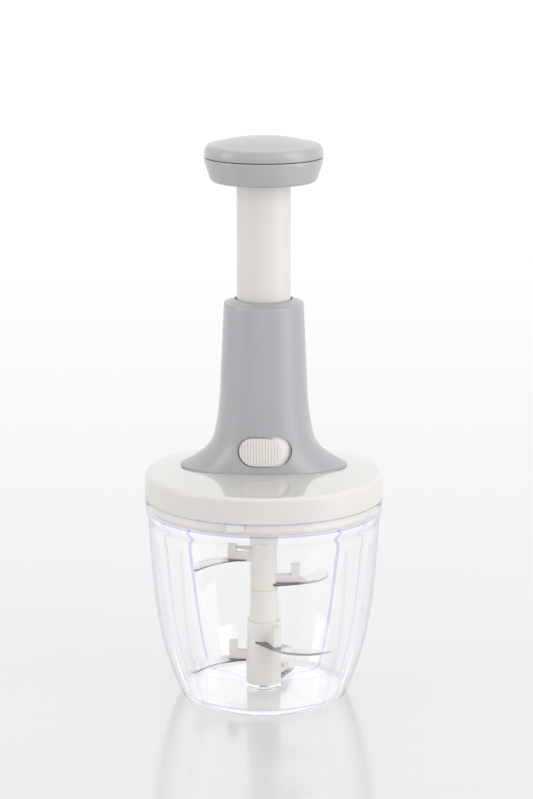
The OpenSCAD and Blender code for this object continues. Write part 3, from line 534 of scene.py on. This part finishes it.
def revolve(name, profile, slot, body, nodes=(), around=192):
    """A solid of revolution from an open profile that runs from axis to axis, or else round a bore."""
    points, faces = sweep_round(profile, around)
    on_axis = profile[0][0] < 0.01 and profile[-1][0] < 0.01
    if not on_axis:
        faces = faces[:-2] + close_bore(len(profile), around)
    return add_piece(name, points, faces, slot, body, nodes)


def arc(cr, cz, radius, start, end, count):
    """Points on an arc in the profile plane, angles in degrees."""
    angles = [math.radians(start + (end - start) * i / count) for i in range(count + 1)]
    return [(cr + radius * math.cos(a), cz + radius * math.sin(a)) for a in angles]


def cut(piece, tool, operation="DIFFERENCE"):
    """Applies a boolean with a tool mesh, and removes the tool."""
    modifier = piece.modifiers.new("cut", "BOOLEAN")
    modifier.operation = operation
    modifier.solver = "EXACT"
    modifier.object = tool
    apply_modifiers(piece)
    bpy.data.objects.remove(tool)


def apply_modifiers(piece):
    """Puts the piece's evaluated mesh in place of its own."""
    bpy.context.view_layer.update()
    evaluated = piece.evaluated_get(bpy.context.evaluated_depsgraph_get())
    data = bpy.data.meshes.new_from_object(evaluated)
    old = piece.data
    piece.modifiers.clear()
    piece.data = data
    bpy.data.meshes.remove(old)


def loose_mesh(name, points, faces):
    """A helper mesh in mm, not a piece: the caller joins or removes it."""
    data = bpy.data.meshes.new(name)
    data.from_pydata([[c * MM for c in p] for p in points], [], faces)
    data.update()
    mesh = bmesh.new()
    mesh.from_mesh(data)
    bmesh.ops.recalc_face_normals(mesh, faces=mesh.faces)
    mesh.to_mesh(data)
    mesh.free()
    helper = bpy.data.objects.new(name, data)
    bpy.context.scene.collection.objects.link(helper)
    return helper


def prism(outline, low, high, place=Matrix.Identity(4)):
    """Points and faces of a straight prism on a plane outline, placed by a matrix in mm."""
    n = len(outline)
    points = [place @ Vector((x, y, low)) for x, y in outline]
    points += [place @ Vector((x, y, high)) for x, y in outline]
    faces = [tuple(range(n)), tuple(range(n, 2 * n))]
    faces += [(k, (k + 1) % n, n + (k + 1) % n, n + k) for k in range(n)]
    return points, faces


def gather(shapes):
    """Points and faces of several shapes as one list each."""
    points, faces = [], []
    for more, sides in shapes:
        faces += [tuple(v + len(points) for v in face) for face in sides]
        points += more
    return points, faces


def stadium(w, h, count=24):
    """Outline of a slot w wide and h high, round the origin."""
    reach = (w - h) / 2
    right = arc(reach, 0, h / 2, -90, 90, count)
    return right + [(-x, -y) for x, y in right]


# ---------- Sizes of the bowl, in mm and degrees ----------

def top_of(node):
    """Height of a CAD node's top, in mm."""
    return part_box(node)[1].z / MM


def foot_of(node):
    """Height of a CAD node's foot, in mm."""
    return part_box(node)[0].z / MM


RIM_TOP = top_of("bowl")
RIM_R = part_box("bowl")[1].x / MM
RIM_BORE = RIM_R - 3
RIM_BAND = 9
NECK_R = 68.9
NECK_Z = RIM_TOP - RIM_BAND - 7.5
FOOT_R = 49.5
SIDE_REACH = (14.1, 2.6)            # how far the side's curve handles stand out from foot and in from neck
SIDE_RISE = (0.3, 0.53)             # their heights, as shares of the neck's
THROAT = 0.97                       # share of the side where its inner face meets the shoulder
HEEL = 0.055                        # and where it meets the corner of the floor
CORNER_R = 5
WALL = 2.4
FLOOR = 3.2
HOLLOW = 0.8                        # recess under the foot
PIN_R, PIN_Z = 2.55, 1.6            # bore for the pin, and its foot
FLUTES = 16
FLUTE_DEPTH = 0.6
STRONG_FLUTES = (1, 2, 6, 7, 9, 10, 14, 15)   # ridges that show as clear creases, counted from +X
STRONG_EDGE, SOFT_EDGE = 0.0006, 0.05         # how rounded the ridges are
SOFT_SHARE = 0.6                              # depth of the flutes beside the other ridges
FLUTE_TOP = 96
FLUTE_FOOT = 6                      # height above the floor in which the flutes grow
PLUG_Z = foot_of("lid_base")
BOSS_R = 8.6
BOSS_TOP = foot_of("lower_blade_hub") - 0.3
KEY_TURNS = [256.5 + 120 * k for k in range(3)]
KEY_W = 11.4


# ---------- Bowl ----------

def bezier(a, b, c, d, t):
    """A cubic curve from a to d with handles b and c."""
    s = 1 - t
    return a * s ** 3 + 3 * b * t * s * s + 3 * c * t * t * s + d * t ** 3


def side(t):
    """Outer radius and height of the bowl's side, t = 0 at the foot and 1 at the neck."""
    return (bezier(FOOT_R, FOOT_R + SIDE_REACH[0], NECK_R - SIDE_REACH[1], NECK_R, t),
            bezier(0, SIDE_RISE[0] * NECK_Z, SIDE_RISE[1] * NECK_Z, NECK_Z, t))


def ease(t):
    """Goes from 0 to 1 with level ends."""
    return t * t * (3 - 2 * t)


def flute(z, a):
    """How far the ridges between the flutes stand in at height z and angle a."""
    fade = max(0, 1 - z / FLUTE_TOP) ** 0.7 * min(1, max(0, z - FLOOR) / FLUTE_FOOT)
    wave = abs(math.sin(a * FLUTES / 2))
    strong = round(a / TAU * FLUTES) % FLUTES in STRONG_FLUTES
    rounding = STRONG_EDGE if strong else SOFT_EDGE
    return FLUTE_DEPTH * fade * (1 - math.sqrt(wave * wave + rounding)) * (1 if strong else SOFT_SHARE)


def make_bowl():
    rows = 48
    outer = [side(i / rows) for i in range(1, rows + 1)]
    neck = [(NECK_R + (RIM_R - 0.4 - NECK_R) * ease(i / 12),
             NECK_Z + (RIM_TOP - RIM_BAND + 1.5 - NECK_Z) * i / 12) for i in range(1, 13)]
    rim = [(RIM_R - 0.15, RIM_TOP - 3), (RIM_R, RIM_TOP - 0.5)]
    rim += arc(RIM_R - 0.2, RIM_TOP - 0.2, 0.2, 10, 90, 3)
    rim += arc(RIM_BORE + 0.5, RIM_TOP - 0.5, 0.5, 90, 180, 4)
    shoulder_z = PLUG_Z - 1.5
    throat_r = side(THROAT)[0] - WALL
    shoulder = [(RIM_BORE + (throat_r - RIM_BORE) * ease(i / 8),
                 shoulder_z + (NECK_Z - shoulder_z) * i / 8) for i in range(9)]
    inner = [side(THROAT - (THROAT - HEEL) * i / rows) for i in range(rows + 1)]
    inner = [(r - WALL, z) for r, z in inner]
    foot_r, foot_z = inner[-1]
    corner = []
    for i in range(1, 9):
        a = math.radians(90 * i / 8)
        corner.append((foot_r - CORNER_R * (1 - math.cos(a)), FLOOR + (foot_z - FLOOR) * (1 - math.sin(a))))
    floor = [(40, FLOOR), (30, FLOOR), (BOSS_R + 4, FLOOR), (BOSS_R + 1.4, FLOOR + 0.1),
             (BOSS_R + 0.9, FLOOR + 0.6), (BOSS_R + 0.2, BOSS_TOP - 0.5), (BOSS_R - 0.3, BOSS_TOP),
             (PIN_R + 0.65, BOSS_TOP), (PIN_R + 0.05, BOSS_TOP - 0.4), (PIN_R, PIN_Z), (0, PIN_Z)]
    under = [(0, HOLLOW), (FOOT_R - 6.5, HOLLOW), (FOOT_R - 5.2, HOLLOW - 0.1), (FOOT_R - 4.6, 0.05),
             (FOOT_R - 4.2, 0), (FOOT_R - 1.2, 0), (FOOT_R - 0.5, 0.1), (FOOT_R + 0.1, 0.7)]
    outside = under + outer[1:] + neck + rim
    profile = outside + shoulder + inner + corner + floor

    def fluted(r, z, a, j):
        return r - flute(z, a) if j >= len(outside) and r > BOSS_R + 8 else r

    points, faces = sweep_round(profile, FLUTES * 16, fluted)
    bowl = add_piece("clear_bowl", points, faces, "clear_plastic", "bowl", ["bowl"])
    upright = Matrix.Rotation(math.radians(90), 4, "Y") @ Matrix.Rotation(math.radians(90), 4, "Z")
    places = [Matrix.Rotation(math.radians(turn), 4, "Z") @ upright for turn in KEY_TURNS]
    pockets = [prism(pocket_outline(), RIM_BORE - 1, RIM_BORE + 2, place) for place in places]
    cut(bowl, loose_mesh("pockets", *gather(pockets)))
    smooth(bowl, 40)


def pocket_outline():
    """U shape, open at the top: x across and y up, in mm from the origin."""
    foot = PLUG_Z + 2.5
    w, r = KEY_W / 2, KEY_W / 4
    left = arc(-w + r, foot + r, r, 180, 270, 8)
    return [(-w, RIM_TOP + 1)] + left + [(-x, y) for x, y in reversed(left)] + [(w, RIM_TOP + 1)]


# ---------- Lid ----------

LID_FOOT = RIM_TOP + 0.04
LID_RISE = RIM_TOP + 15.1           # height of the dome's edge
EDGE_R = 3
LID_EDGE = RIM_R - 0.9 - EDGE_R
DOME_FALL = 833                     # the dome falls by the radius squared over this
GLOSSY_FACING = 0.97                # faces whose normals point up by more than this are the dome's
SEAT_Z = foot_of("housing")
FOOT_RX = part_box("housing")[1].x / MM
FOOT_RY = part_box("housing")[1].y / MM


def dome(r):
    """Height of the lid's top at radius r."""
    return LID_RISE + (LID_EDGE * LID_EDGE - r * r) / DOME_FALL


def make_lid_cover():
    radii = [LID_EDGE * (1 - i / 40) for i in range(1, 30)]
    top = [(r, dome(r)) for r in radii]
    slope = math.degrees(math.atan(2 * LID_EDGE / DOME_FALL))
    edge = arc(LID_EDGE, LID_RISE - EDGE_R, EDGE_R, 4, 90 - slope, 10)
    ceiling = SEAT_Z - 0.9
    opening = radii[-1]
    profile = [(RIM_R - 3, LID_FOOT), (RIM_R - 0.2, LID_FOOT), (RIM_R - 0.02, LID_FOOT + 0.15),
               (RIM_R - 0.02, LID_FOOT + 1)]
    profile += edge + top
    profile += [(opening - 0.2, ceiling + 0.2), (opening, ceiling), (38, ceiling), (60, ceiling - 2.8),
                (65, LID_RISE - 4), (RIM_R - 3.2, LID_RISE - 7)]
    lid = revolve("lid_shell", profile, "cream_plastic", "lid", ["lid_cover"], around=256)
    seat = [(x, y) for x, y, _ in oval(1.003 * FOOT_RX, 1.005 * FOOT_RY, 0, 200)]
    cut(lid, loose_mesh("seat", *prism(seat, SEAT_Z, SEAT_Z + 9)))
    # The dome's faces take the glossy cream, painted darker than the side.
    lid.data.materials.append(materials["lid_gloss_and_shade"])
    for face in lid.data.polygons:
        face.material_index = 1 if face.normal.z > GLOSSY_FACING else 0
    smooth(lid, 30)


# ---------- Housing ----------

HOUSING_TOP = top_of("housing")
TOP_R = 23.5
MOUTH_R = 16.8
COLLAR_RISE = 2.2           # how far the collar rises towards the tube
HOUSING_WALL = 1.3
FOOT_EDGE = 1.2
MOUTH_DEPTH = 2.4
ROW_CROWDING = 1.7          # rows of the mesh stand closer where the trumpet bends most

TAPER = 4.4                 # what the sides widen from top to foot
WAIST = (7.1, 44.5, 2)      # how much the trumpet widens, over which height, and the curve's power
FLARE = (FOOT_RX - TOP_R - TAPER - WAIST[0], 20, 2.5)     # and the same for its foot

SLOT_W, SLOT_H, SLOT_X, SLOT_Z = 32, 17.7, 0.6, 154.9


def widening(z, amount, height, power):
    """What a widening of the trumpet adds to its half width at height z."""
    return amount * min(1, max(0, 1 - (z - SEAT_Z - FOOT_EDGE) / height)) ** power


def half_x(z):
    """Half the housing's width at height z."""
    up = max(0, (z - SEAT_Z) / (HOUSING_TOP - SEAT_Z))
    return TOP_R + TAPER * (1 - up) + widening(z, *WAIST) + widening(z, *FLARE)


def half_y(z):
    """Half the housing's depth at height z."""
    up = max(0, (z - SEAT_Z) / (HOUSING_TOP - SEAT_Z))
    return TOP_R + (FOOT_RY - TOP_R) * (1 - up)


def make_housing():
    around = 256
    quarter = [math.radians(90 * i / 4) for i in range(5)]
    rings = [(-0.5 * (1 - math.sin(a)), SEAT_Z + 0.5 * (1 - math.cos(a))) for a in quarter]
    rings += [(-0.35 * (1 - math.cos(a)), SEAT_Z + FOOT_EDGE - 0.35 * (1 - math.sin(a))) for a in quarter[1:]]
    rows = 90
    body = HOUSING_TOP - SEAT_Z - FOOT_EDGE - 0.9
    rings += [(0, SEAT_Z + FOOT_EDGE + 0.1 + body * (i / rows) ** ROW_CROWDING) for i in range(1, rows + 1)]
    outer = [(half_x(z) + inset, half_y(z) + inset, z) for inset, z in rings]

    lip = [(TOP_R - 0.15, HOUSING_TOP - 0.4), (TOP_R - 0.5, HOUSING_TOP - 0.1), (TOP_R - 0.9, HOUSING_TOP)]
    lip += [(TOP_R - 0.9 + (MOUTH_R + 0.9 - TOP_R) * i / 10, HOUSING_TOP + COLLAR_RISE * ease(i / 10))
            for i in range(1, 10)]
    lip += [(MOUTH_R + 0.1, HOUSING_TOP + COLLAR_RISE - 0.1), (MOUTH_R, HOUSING_TOP + COLLAR_RISE - 0.4),
            (MOUTH_R, HOUSING_TOP - MOUTH_DEPTH), (21, HOUSING_TOP - MOUTH_DEPTH)]

    top = HOUSING_TOP - MOUTH_DEPTH - 0.1
    heights = [top - (top - SEAT_Z) * (1 - (1 - i / 40) ** ROW_CROWDING) for i in range(41)]
    inner = [(half_x(z) - HOUSING_WALL, half_y(z) - HOUSING_WALL, z) for z in heights]

    ovals = outer + [(r, r, z) for r, z in lip] + inner
    points = [point for rx, ry, z in ovals for point in oval(rx, ry, z, around)]
    faces = ring_grid(len(ovals), around) + close_bore(len(ovals), around)
    housing = add_piece("housing_shell", points, faces, "grey_plastic", "lid", ["housing"])
    place = Matrix.Translation((SLOT_X, 0, SLOT_Z)) @ Matrix.Rotation(math.radians(90), 4, "X")
    cut(housing, loose_mesh("slot", *prism(stadium(SLOT_W, SLOT_H), 20, 45, place)))
    smooth(housing, 30)


# ---------- Lock slider ----------

SLIDE_Z, SLIDE_H, SLIDE_T = 145.05, 19.7, 1.3
SLIDE_GAP = 0.35                    # to the housing's inner face
SLIDE_SPREAD = 40                   # degrees to either side of the front
BUTTON_W, BUTTON_H, BUTTON_RIBS = 24, 16.5, 14
BUTTON_R = FOOT_RY - 0.1
GROOVE_DEPTH, GROOVE_EDGE = 0.55, 0.25
TONGUE_W, TONGUE_T, TONGUE_Z, TONGUE_Y = 5, 2.4, 162.5, -17.6
LOCK_REST = -4.8                    # degrees


def slide_face(z):
    """Radius of the slider's face behind the housing's wall at height z."""
    return half_y(z) - HOUSING_WALL - SLIDE_GAP


def front_sector(reach, levels, count=48):
    """Points and faces of a curved plate across the front: levels are (z, inner radius, outer radius)."""
    points = []
    for z, r0, r1 in levels:
        for r in (r0, r1):
            for i in range(count + 1):
                a = math.radians(-90 - reach + 2 * reach * i / count)
                points.append((r * math.cos(a), r * math.sin(a), z))
    n = count + 1
    faces = []
    for j in range(len(levels) - 1):
        low, high = 2 * j * n, 2 * (j + 1) * n
        for i in range(count):
            faces.append((low + i, low + i + 1, high + i + 1, high + i))
            faces.append((low + n + i, high + n + i, high + n + i + 1, low + n + i + 1))
        for i in (0, count):
            faces.append((low + i, high + i, high + n + i, low + n + i))
    for base in (0, 2 * (len(levels) - 1) * n):
        faces += [(base + i, base + i + 1, base + n + i + 1, base + n + i) for i in range(count)]
    return points, faces


def groove(x, pitch):
    """One groove between the button's ribs, at x across it."""
    face_y = -math.sqrt(BUTTON_R * BUTTON_R - x * x)
    wide, narrow = pitch / 4, pitch / 8
    outline = [(x - wide, face_y - 3), (x + wide, face_y - 3), (x + wide, face_y + GROOVE_EDGE),
               (x + narrow, face_y + GROOVE_DEPTH), (x - narrow, face_y + GROOVE_DEPTH),
               (x - wide, face_y + GROOVE_EDGE)]
    return prism(outline, SLIDE_Z - 2, SLIDE_Z + SLIDE_H + 2)


def make_slider():
    slide_top = SLIDE_Z + SLIDE_H
    heights = [SLIDE_Z + SLIDE_H * i / 8 for i in range(9)]
    levels = [(z, slide_face(z) - SLIDE_T, slide_face(z)) for z in heights]
    points, faces = front_sector(SLIDE_SPREAD, levels)
    slider = add_piece("thumb_slider", points, faces, "cream_plastic", "lock", ["lock_slider"])

    place = Matrix.Translation((0, 0, SLOT_Z)) @ Matrix.Rotation(math.radians(90), 4, "X")
    button = loose_mesh("button", *prism(stadium(BUTTON_W, BUTTON_H), 15, 45, place))
    inside = slide_face(slide_top) - 0.6
    face = front_sector(SLIDE_SPREAD, [(z, inside, BUTTON_R) for z in (SLIDE_Z, slide_top)], 96)
    cut(button, loose_mesh("face", *face), "INTERSECT")
    pitch = BUTTON_W / BUTTON_RIBS
    grooves = [groove((k - BUTTON_RIBS / 2) * pitch, pitch) for k in range(1, BUTTON_RIBS)]
    cut(button, loose_mesh("grooves", *gather(grooves)))
    cut(slider, button, "UNION")

    w, front = TONGUE_W / 2, -slide_face(SLOT_Z) + 0.6
    tongue = [(-w, front), (w, front), (w, TONGUE_Y), (-w, TONGUE_Y)]
    cut(slider, loose_mesh("tongue", *prism(tongue, TONGUE_Z, TONGUE_Z + TONGUE_T)), "UNION")
    slider.data.transform(Matrix.Rotation(math.radians(LOCK_REST), 4, "Z"))
    # The slider takes a lighter copy of the cream: painted light in its slot.
    slider.data.materials[0] = materials["lightened_cream_plastic"]
    smooth(slider, 30)


# ---------- Knob ----------

# The palm knob is a little larger than its solids: lower, higher and wider by so much.
KNOB_LOWER, KNOB_HIGHER, KNOB_WIDER = 0.8, 2.3, 0.25
KNOB_Z = foot_of("knob_base") - KNOB_LOWER
KNOB_TOP = top_of("knob_cap") + KNOB_HIGHER
KNOB_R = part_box("knob_base")[1].x / MM + KNOB_WIDER
SEAM_Z = top_of("knob_base")
SEAM_GAP = 0.35
FLANGE = 2.9                        # what the flange at the tube's foot is wider than the tube
TUBE_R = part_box("plunger_tube")[1].x / MM - FLANGE
CREASE_R = KNOB_R - 4.4             # where the knob's shoulder meets its crown
CROWN_RISE = 4.3
UNDER_R = 3.6                       # the cup's lower rounding
BELT_H = 2.4                        # the upright band above the seam


def make_knob():
    under_r = KNOB_R - 3
    cup = [(TUBE_R + 0.05, SEAM_Z - 6), (TUBE_R + 0.05, KNOB_Z + 0.3), (TUBE_R + 0.4, KNOB_Z)]
    cup += arc(under_r - UNDER_R, KNOB_Z + UNDER_R, UNDER_R, -90, -12, 10)
    cup += [(KNOB_R - 0.25, SEAM_Z - 2.5), (KNOB_R, SEAM_Z - 0.6), (KNOB_R - 0.12, SEAM_Z - 0.2),
            (KNOB_R - 0.5, SEAM_Z), (KNOB_R - 2.6, SEAM_Z), (KNOB_R - 2.6, SEAM_Z - 4),
            (TUBE_R + 4, SEAM_Z - 6)]
    halves = [revolve("knob_cup", cup, "grey_plastic", "plunger", ["knob_base"])]

    foot = SEAM_Z + SEAM_GAP
    cap = [(0, foot + 0.5), (KNOB_R - 3, foot + 0.5), (KNOB_R - 3, foot), (KNOB_R - 0.6, foot),
           (KNOB_R - 0.15, foot + 0.15), (KNOB_R, foot + 0.6), (KNOB_R, foot + BELT_H)]
    crease_z = KNOB_TOP - CROWN_RISE
    shoulder_h = crease_z - foot - BELT_H
    inner_r = CREASE_R + 0.4
    quarter = [math.radians(90 * i / 12) for i in range(1, 13)]
    cap += [(inner_r + (KNOB_R - inner_r) * math.cos(a), foot + BELT_H + shoulder_h * math.sin(a))
            for a in quarter]
    cap += [(CREASE_R - 0.1, crease_z + 0.02)]
    shares = [1 - i / 24 for i in range(1, 24)]
    cap += [(CREASE_R * t, crease_z + CROWN_RISE * (1 - t * t)) for t in shares] + [(0, KNOB_TOP)]
    halves.append(revolve("knob_crown", cap, "grey_plastic", "plunger", ["knob_cap"]))
    for half in halves:
        half.data.materials[0] = materials["knob_plastic"]


# ---------- Blades ----------

BLADE_TURNS = [177, 4, 292, 175, 51]        # degrees, from the lowest blade up
LEAD_R, TRAIL_R = 24, 51                    # radii of the cutting edge and of the back
LEAD_CENTRE = (0.708 * LEAD_R, 0.792 * LEAD_R)
TRAIL_CENTRE = (-0.157 * TRAIL_R, 0.98 * TRAIL_R)
ROOT_TURN, TRAIL_TURN = -78.7, -77.5        # where the two arcs start
ROOT_L = 15.8                               # length of the straight root
BLADE_T = 1.0
BEVEL_W = 1.1
EDGE_HEIGHT = 0.6                           # height of the cutting edge, as a share of the thickness
UPRIGHT = 0.3                               # faces whose normals rise by less than this are the edges, which take the rougher steel, painted darker as shade


def on_arc(centre, radius, angle):
    a = math.radians(angle)
    return (centre[0] + radius * math.cos(a), centre[1] + radius * math.sin(a))


def blade_outline(count=48):
    """Leading and trailing edges of a sickle blade, as matched rows of points from root to tip."""
    dx, dy = TRAIL_CENTRE[0] - LEAD_CENTRE[0], TRAIL_CENTRE[1] - LEAD_CENTRE[1]
    d = math.hypot(dx, dy)
    along = (LEAD_R ** 2 - TRAIL_R ** 2 + d * d) / (2 * d)
    off = math.sqrt(LEAD_R ** 2 - along ** 2)
    tip = (LEAD_CENTRE[0] + (dx * along + dy * off) / d, LEAD_CENTRE[1] + (dy * along - dx * off) / d)
    lead_end = math.degrees(math.atan2(tip[1] - LEAD_CENTRE[1], tip[0] - LEAD_CENTRE[0]))
    trail_end = math.degrees(math.atan2(tip[1] - TRAIL_CENTRE[1], tip[0] - TRAIL_CENTRE[0]))
    start = on_arc(LEAD_CENTRE, LEAD_R, ROOT_TURN)
    back = math.radians(ROOT_TURN)
    lead = [(start[0] + s * math.sin(back), start[1] - s * math.cos(back))
            for s in (ROOT_L * (1 - i / 12) for i in range(12))]
    lead += [on_arc(LEAD_CENTRE, LEAD_R, ROOT_TURN + (lead_end - ROOT_TURN) * i / count)
             for i in range(count + 1)]
    lengths = [0]
    for p, q in zip(lead, lead[1:]):
        lengths.append(lengths[-1] + math.dist(p, q))
    trail = [on_arc(TRAIL_CENTRE, TRAIL_R, TRAIL_TURN + (trail_end - TRAIL_TURN) * (s / lengths[-1]))
             for s in lengths]
    return lead, trail


def blade_section(lead, trail):
    """Section of a blade between matched points of its two edges, thinner towards the tip."""
    (lx, ly), (tx, ty) = lead, trail
    width = math.hypot(tx - lx, ty - ly) or 1e-6
    bevel_w = min(BEVEL_W, width * 0.6)
    bx, by = lx + (tx - lx) / width * bevel_w, ly + (ty - ly) / width * bevel_w
    t = BLADE_T * min(1, 0.15 + width / 3)
    return [(lx, ly, EDGE_HEIGHT * t), (bx, by, t), (tx, ty, t), (tx, ty, 0), (lx, ly, 0)]


def make_blades():
    sections = [blade_section(*pair) for pair in zip(*blade_outline())]
    n, m = len(sections), len(sections[0])
    faces = ring_grid(n, m) + [tuple(range(m)), tuple(range((n - 1) * m, n * m))]
    for number, turn in enumerate(BLADE_TURNS, 1):
        z = foot_of(f"blade_{number}")
        place = Matrix.Translation((0, 0, z)) @ Matrix.Rotation(math.radians(turn), 4, "Z")
        points = [place @ Vector(p) for section in sections for p in section]
        blade = add_piece(f"sickle_{number}", points, faces, "blade_steel", "blade_unit", [f"blade_{number}"])
        # The upright edges take the darker steel: painted shade.
        blade.data.materials.append(materials["shaded_edge_steel"])
        for face in blade.data.polygons:
            if abs(face.normal.z) < UPRIGHT:
                face.material_index = 1
        smooth(blade, 20)


def squash_spring():
    """Gives the return spring a mesh of its own."""
    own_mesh(frame["nodes"]["return_spring"])


# ---------- Stage and light ----------

FLOOR_COLOUR = (0.25, 0.25, 0.25)
FLOOR_GLOSS = 0.15          # its roughness
FLOOR_IOR = 2.4
FLOOR_BOUNCE = (0.8, 0.8, 0.8)      # the floor's colour for the light that it sends to the object
FLOOR_REACH = 14            # metres
FADE = (0, 1.5)             # Y between which the floor fades towards plain white
GLOW = (0.40, 0.47)         # and how much white it adds to itself there
CAUSTIC = 0.17              # the light that the clear bowl gathers under itself
CAUSTIC_REACH = (0.042, 0.049)
WORLD_LIGHT = 0.62
CEILING = (0.55, 0.95)      # Z of a direction, between which the seen world falls from white
CEILING_TONES = (1, 0.8)

LAMPS = [                   # name, place, aim, size (metres) and power (watts)
    ("right_box", (1.1, -0.9, 0.9), (0, 0, 0.18), (0.5, 1.1), 4.5),
    ("right_strip", (0.74, -0.26, 0.62), (0, 0, 0.62), (0.4, 1.2), 2.1),
    ("front_box", (-0.3, -2.3, 0.7), (0, 0, 0.2), (1.8, 1.2), 2.6),
    ("left_box", (-1.3, -0.3, 0.7), (0, 0, 0.18), (0.5, 1.1), 4.2),
    ("top_box", (0, 0.3, 1.5), (0, 0, 0.1), (1.4, 1.2), 5.5),
]


def make_stage():
    """A pale glossy floor that fades to white behind the object."""
    data = bpy.data.meshes.new("floor")
    r = FLOOR_REACH
    data.from_pydata([(-r, -r, 0), (r, -r, 0), (r, r, 0), (-r, r, 0)], [], [(0, 1, 2, 3)])
    floor = bpy.data.objects.new("floor", data)
    bpy.context.scene.collection.objects.link(floor)
    material, tree, shader = new_material("floor_paper")
    shader.inputs["Base Color"].default_value = (*FLOOR_COLOUR, 1)
    shader.inputs["Roughness"].default_value = FLOOR_GLOSS
    shader.inputs["IOR"].default_value = FLOOR_IOR
    shader.inputs["Emission Color"].default_value = (1, 1, 1, 1)
    place = object_place(tree)
    fade = map_range(tree, split_vector(tree, place)["Y"], FADE, GLOW)
    under = map_range(tree, vector_length(tree, place), CAUSTIC_REACH, (CAUSTIC, 0))
    tree.links.new(math_node(tree, "ADD", fade, under), shader.inputs["Emission Strength"])
    plain = tree.nodes.new("ShaderNodeBsdfDiffuse")
    plain.inputs["Color"].default_value = (*FLOOR_BOUNCE, 1)
    paper = mix_shaders(tree, seen_directly(tree), plain.outputs["BSDF"], shader.outputs["BSDF"])
    tree.links.new(paper, tree.nodes["Material Output"].inputs["Surface"])
    data.materials.append(material)


def area_light(name, place, aim, size, power):
    """A rectangular lamp that points at its aim and isn't seen itself."""
    data = bpy.data.lights.new(name, "AREA")
    data.shape = "RECTANGLE"
    data.size, data.size_y = size
    data.energy = power
    light = bpy.data.objects.new(name, data)
    light.location = place
    light.visible_camera = False
    light.rotation_mode = "QUATERNION"
    light.rotation_quaternion = (Vector(aim) - Vector(place)).to_track_quat("-Z", "Y")
    bpy.context.scene.collection.objects.link(light)


def make_light():
    """White world that lights the object softly, and the studio's lamps."""
    world = bpy.data.worlds.new("studio")
    bpy.context.scene.world = world
    world.use_nodes = True
    tree = world.node_tree
    soft = tree.nodes["Background"]
    soft.inputs["Color"].default_value = (1, 1, 1, 1)
    soft.inputs["Strength"].default_value = WORLD_LIGHT
    seen = tree.nodes.new("ShaderNodeBackground")
    seen.inputs["Color"].default_value = (1, 1, 1, 1)
    direction = tree.nodes.new("ShaderNodeTexCoord").outputs["Generated"]
    ceiling = map_range(tree, split_vector(tree, direction)["Z"], CEILING, CEILING_TONES)
    tree.links.new(ceiling, seen.inputs["Strength"])
    mixed = mix_shaders(tree, seen_directly(tree), soft.outputs["Background"], seen.outputs["Background"])
    tree.links.new(mixed, tree.nodes["World Output"].inputs["Surface"])
    for lamp in LAMPS:
        area_light(*lamp)


# ---------- Scene ----------

bpy.context.scene.view_settings.view_transform = "Standard"
materials = make_materials()
make_camera()
make_stage()
make_light()
dress_cad_nodes()
make_bowl()
make_lid_cover()
make_housing()
make_slider()
make_knob()
make_blades()
squash_spring()
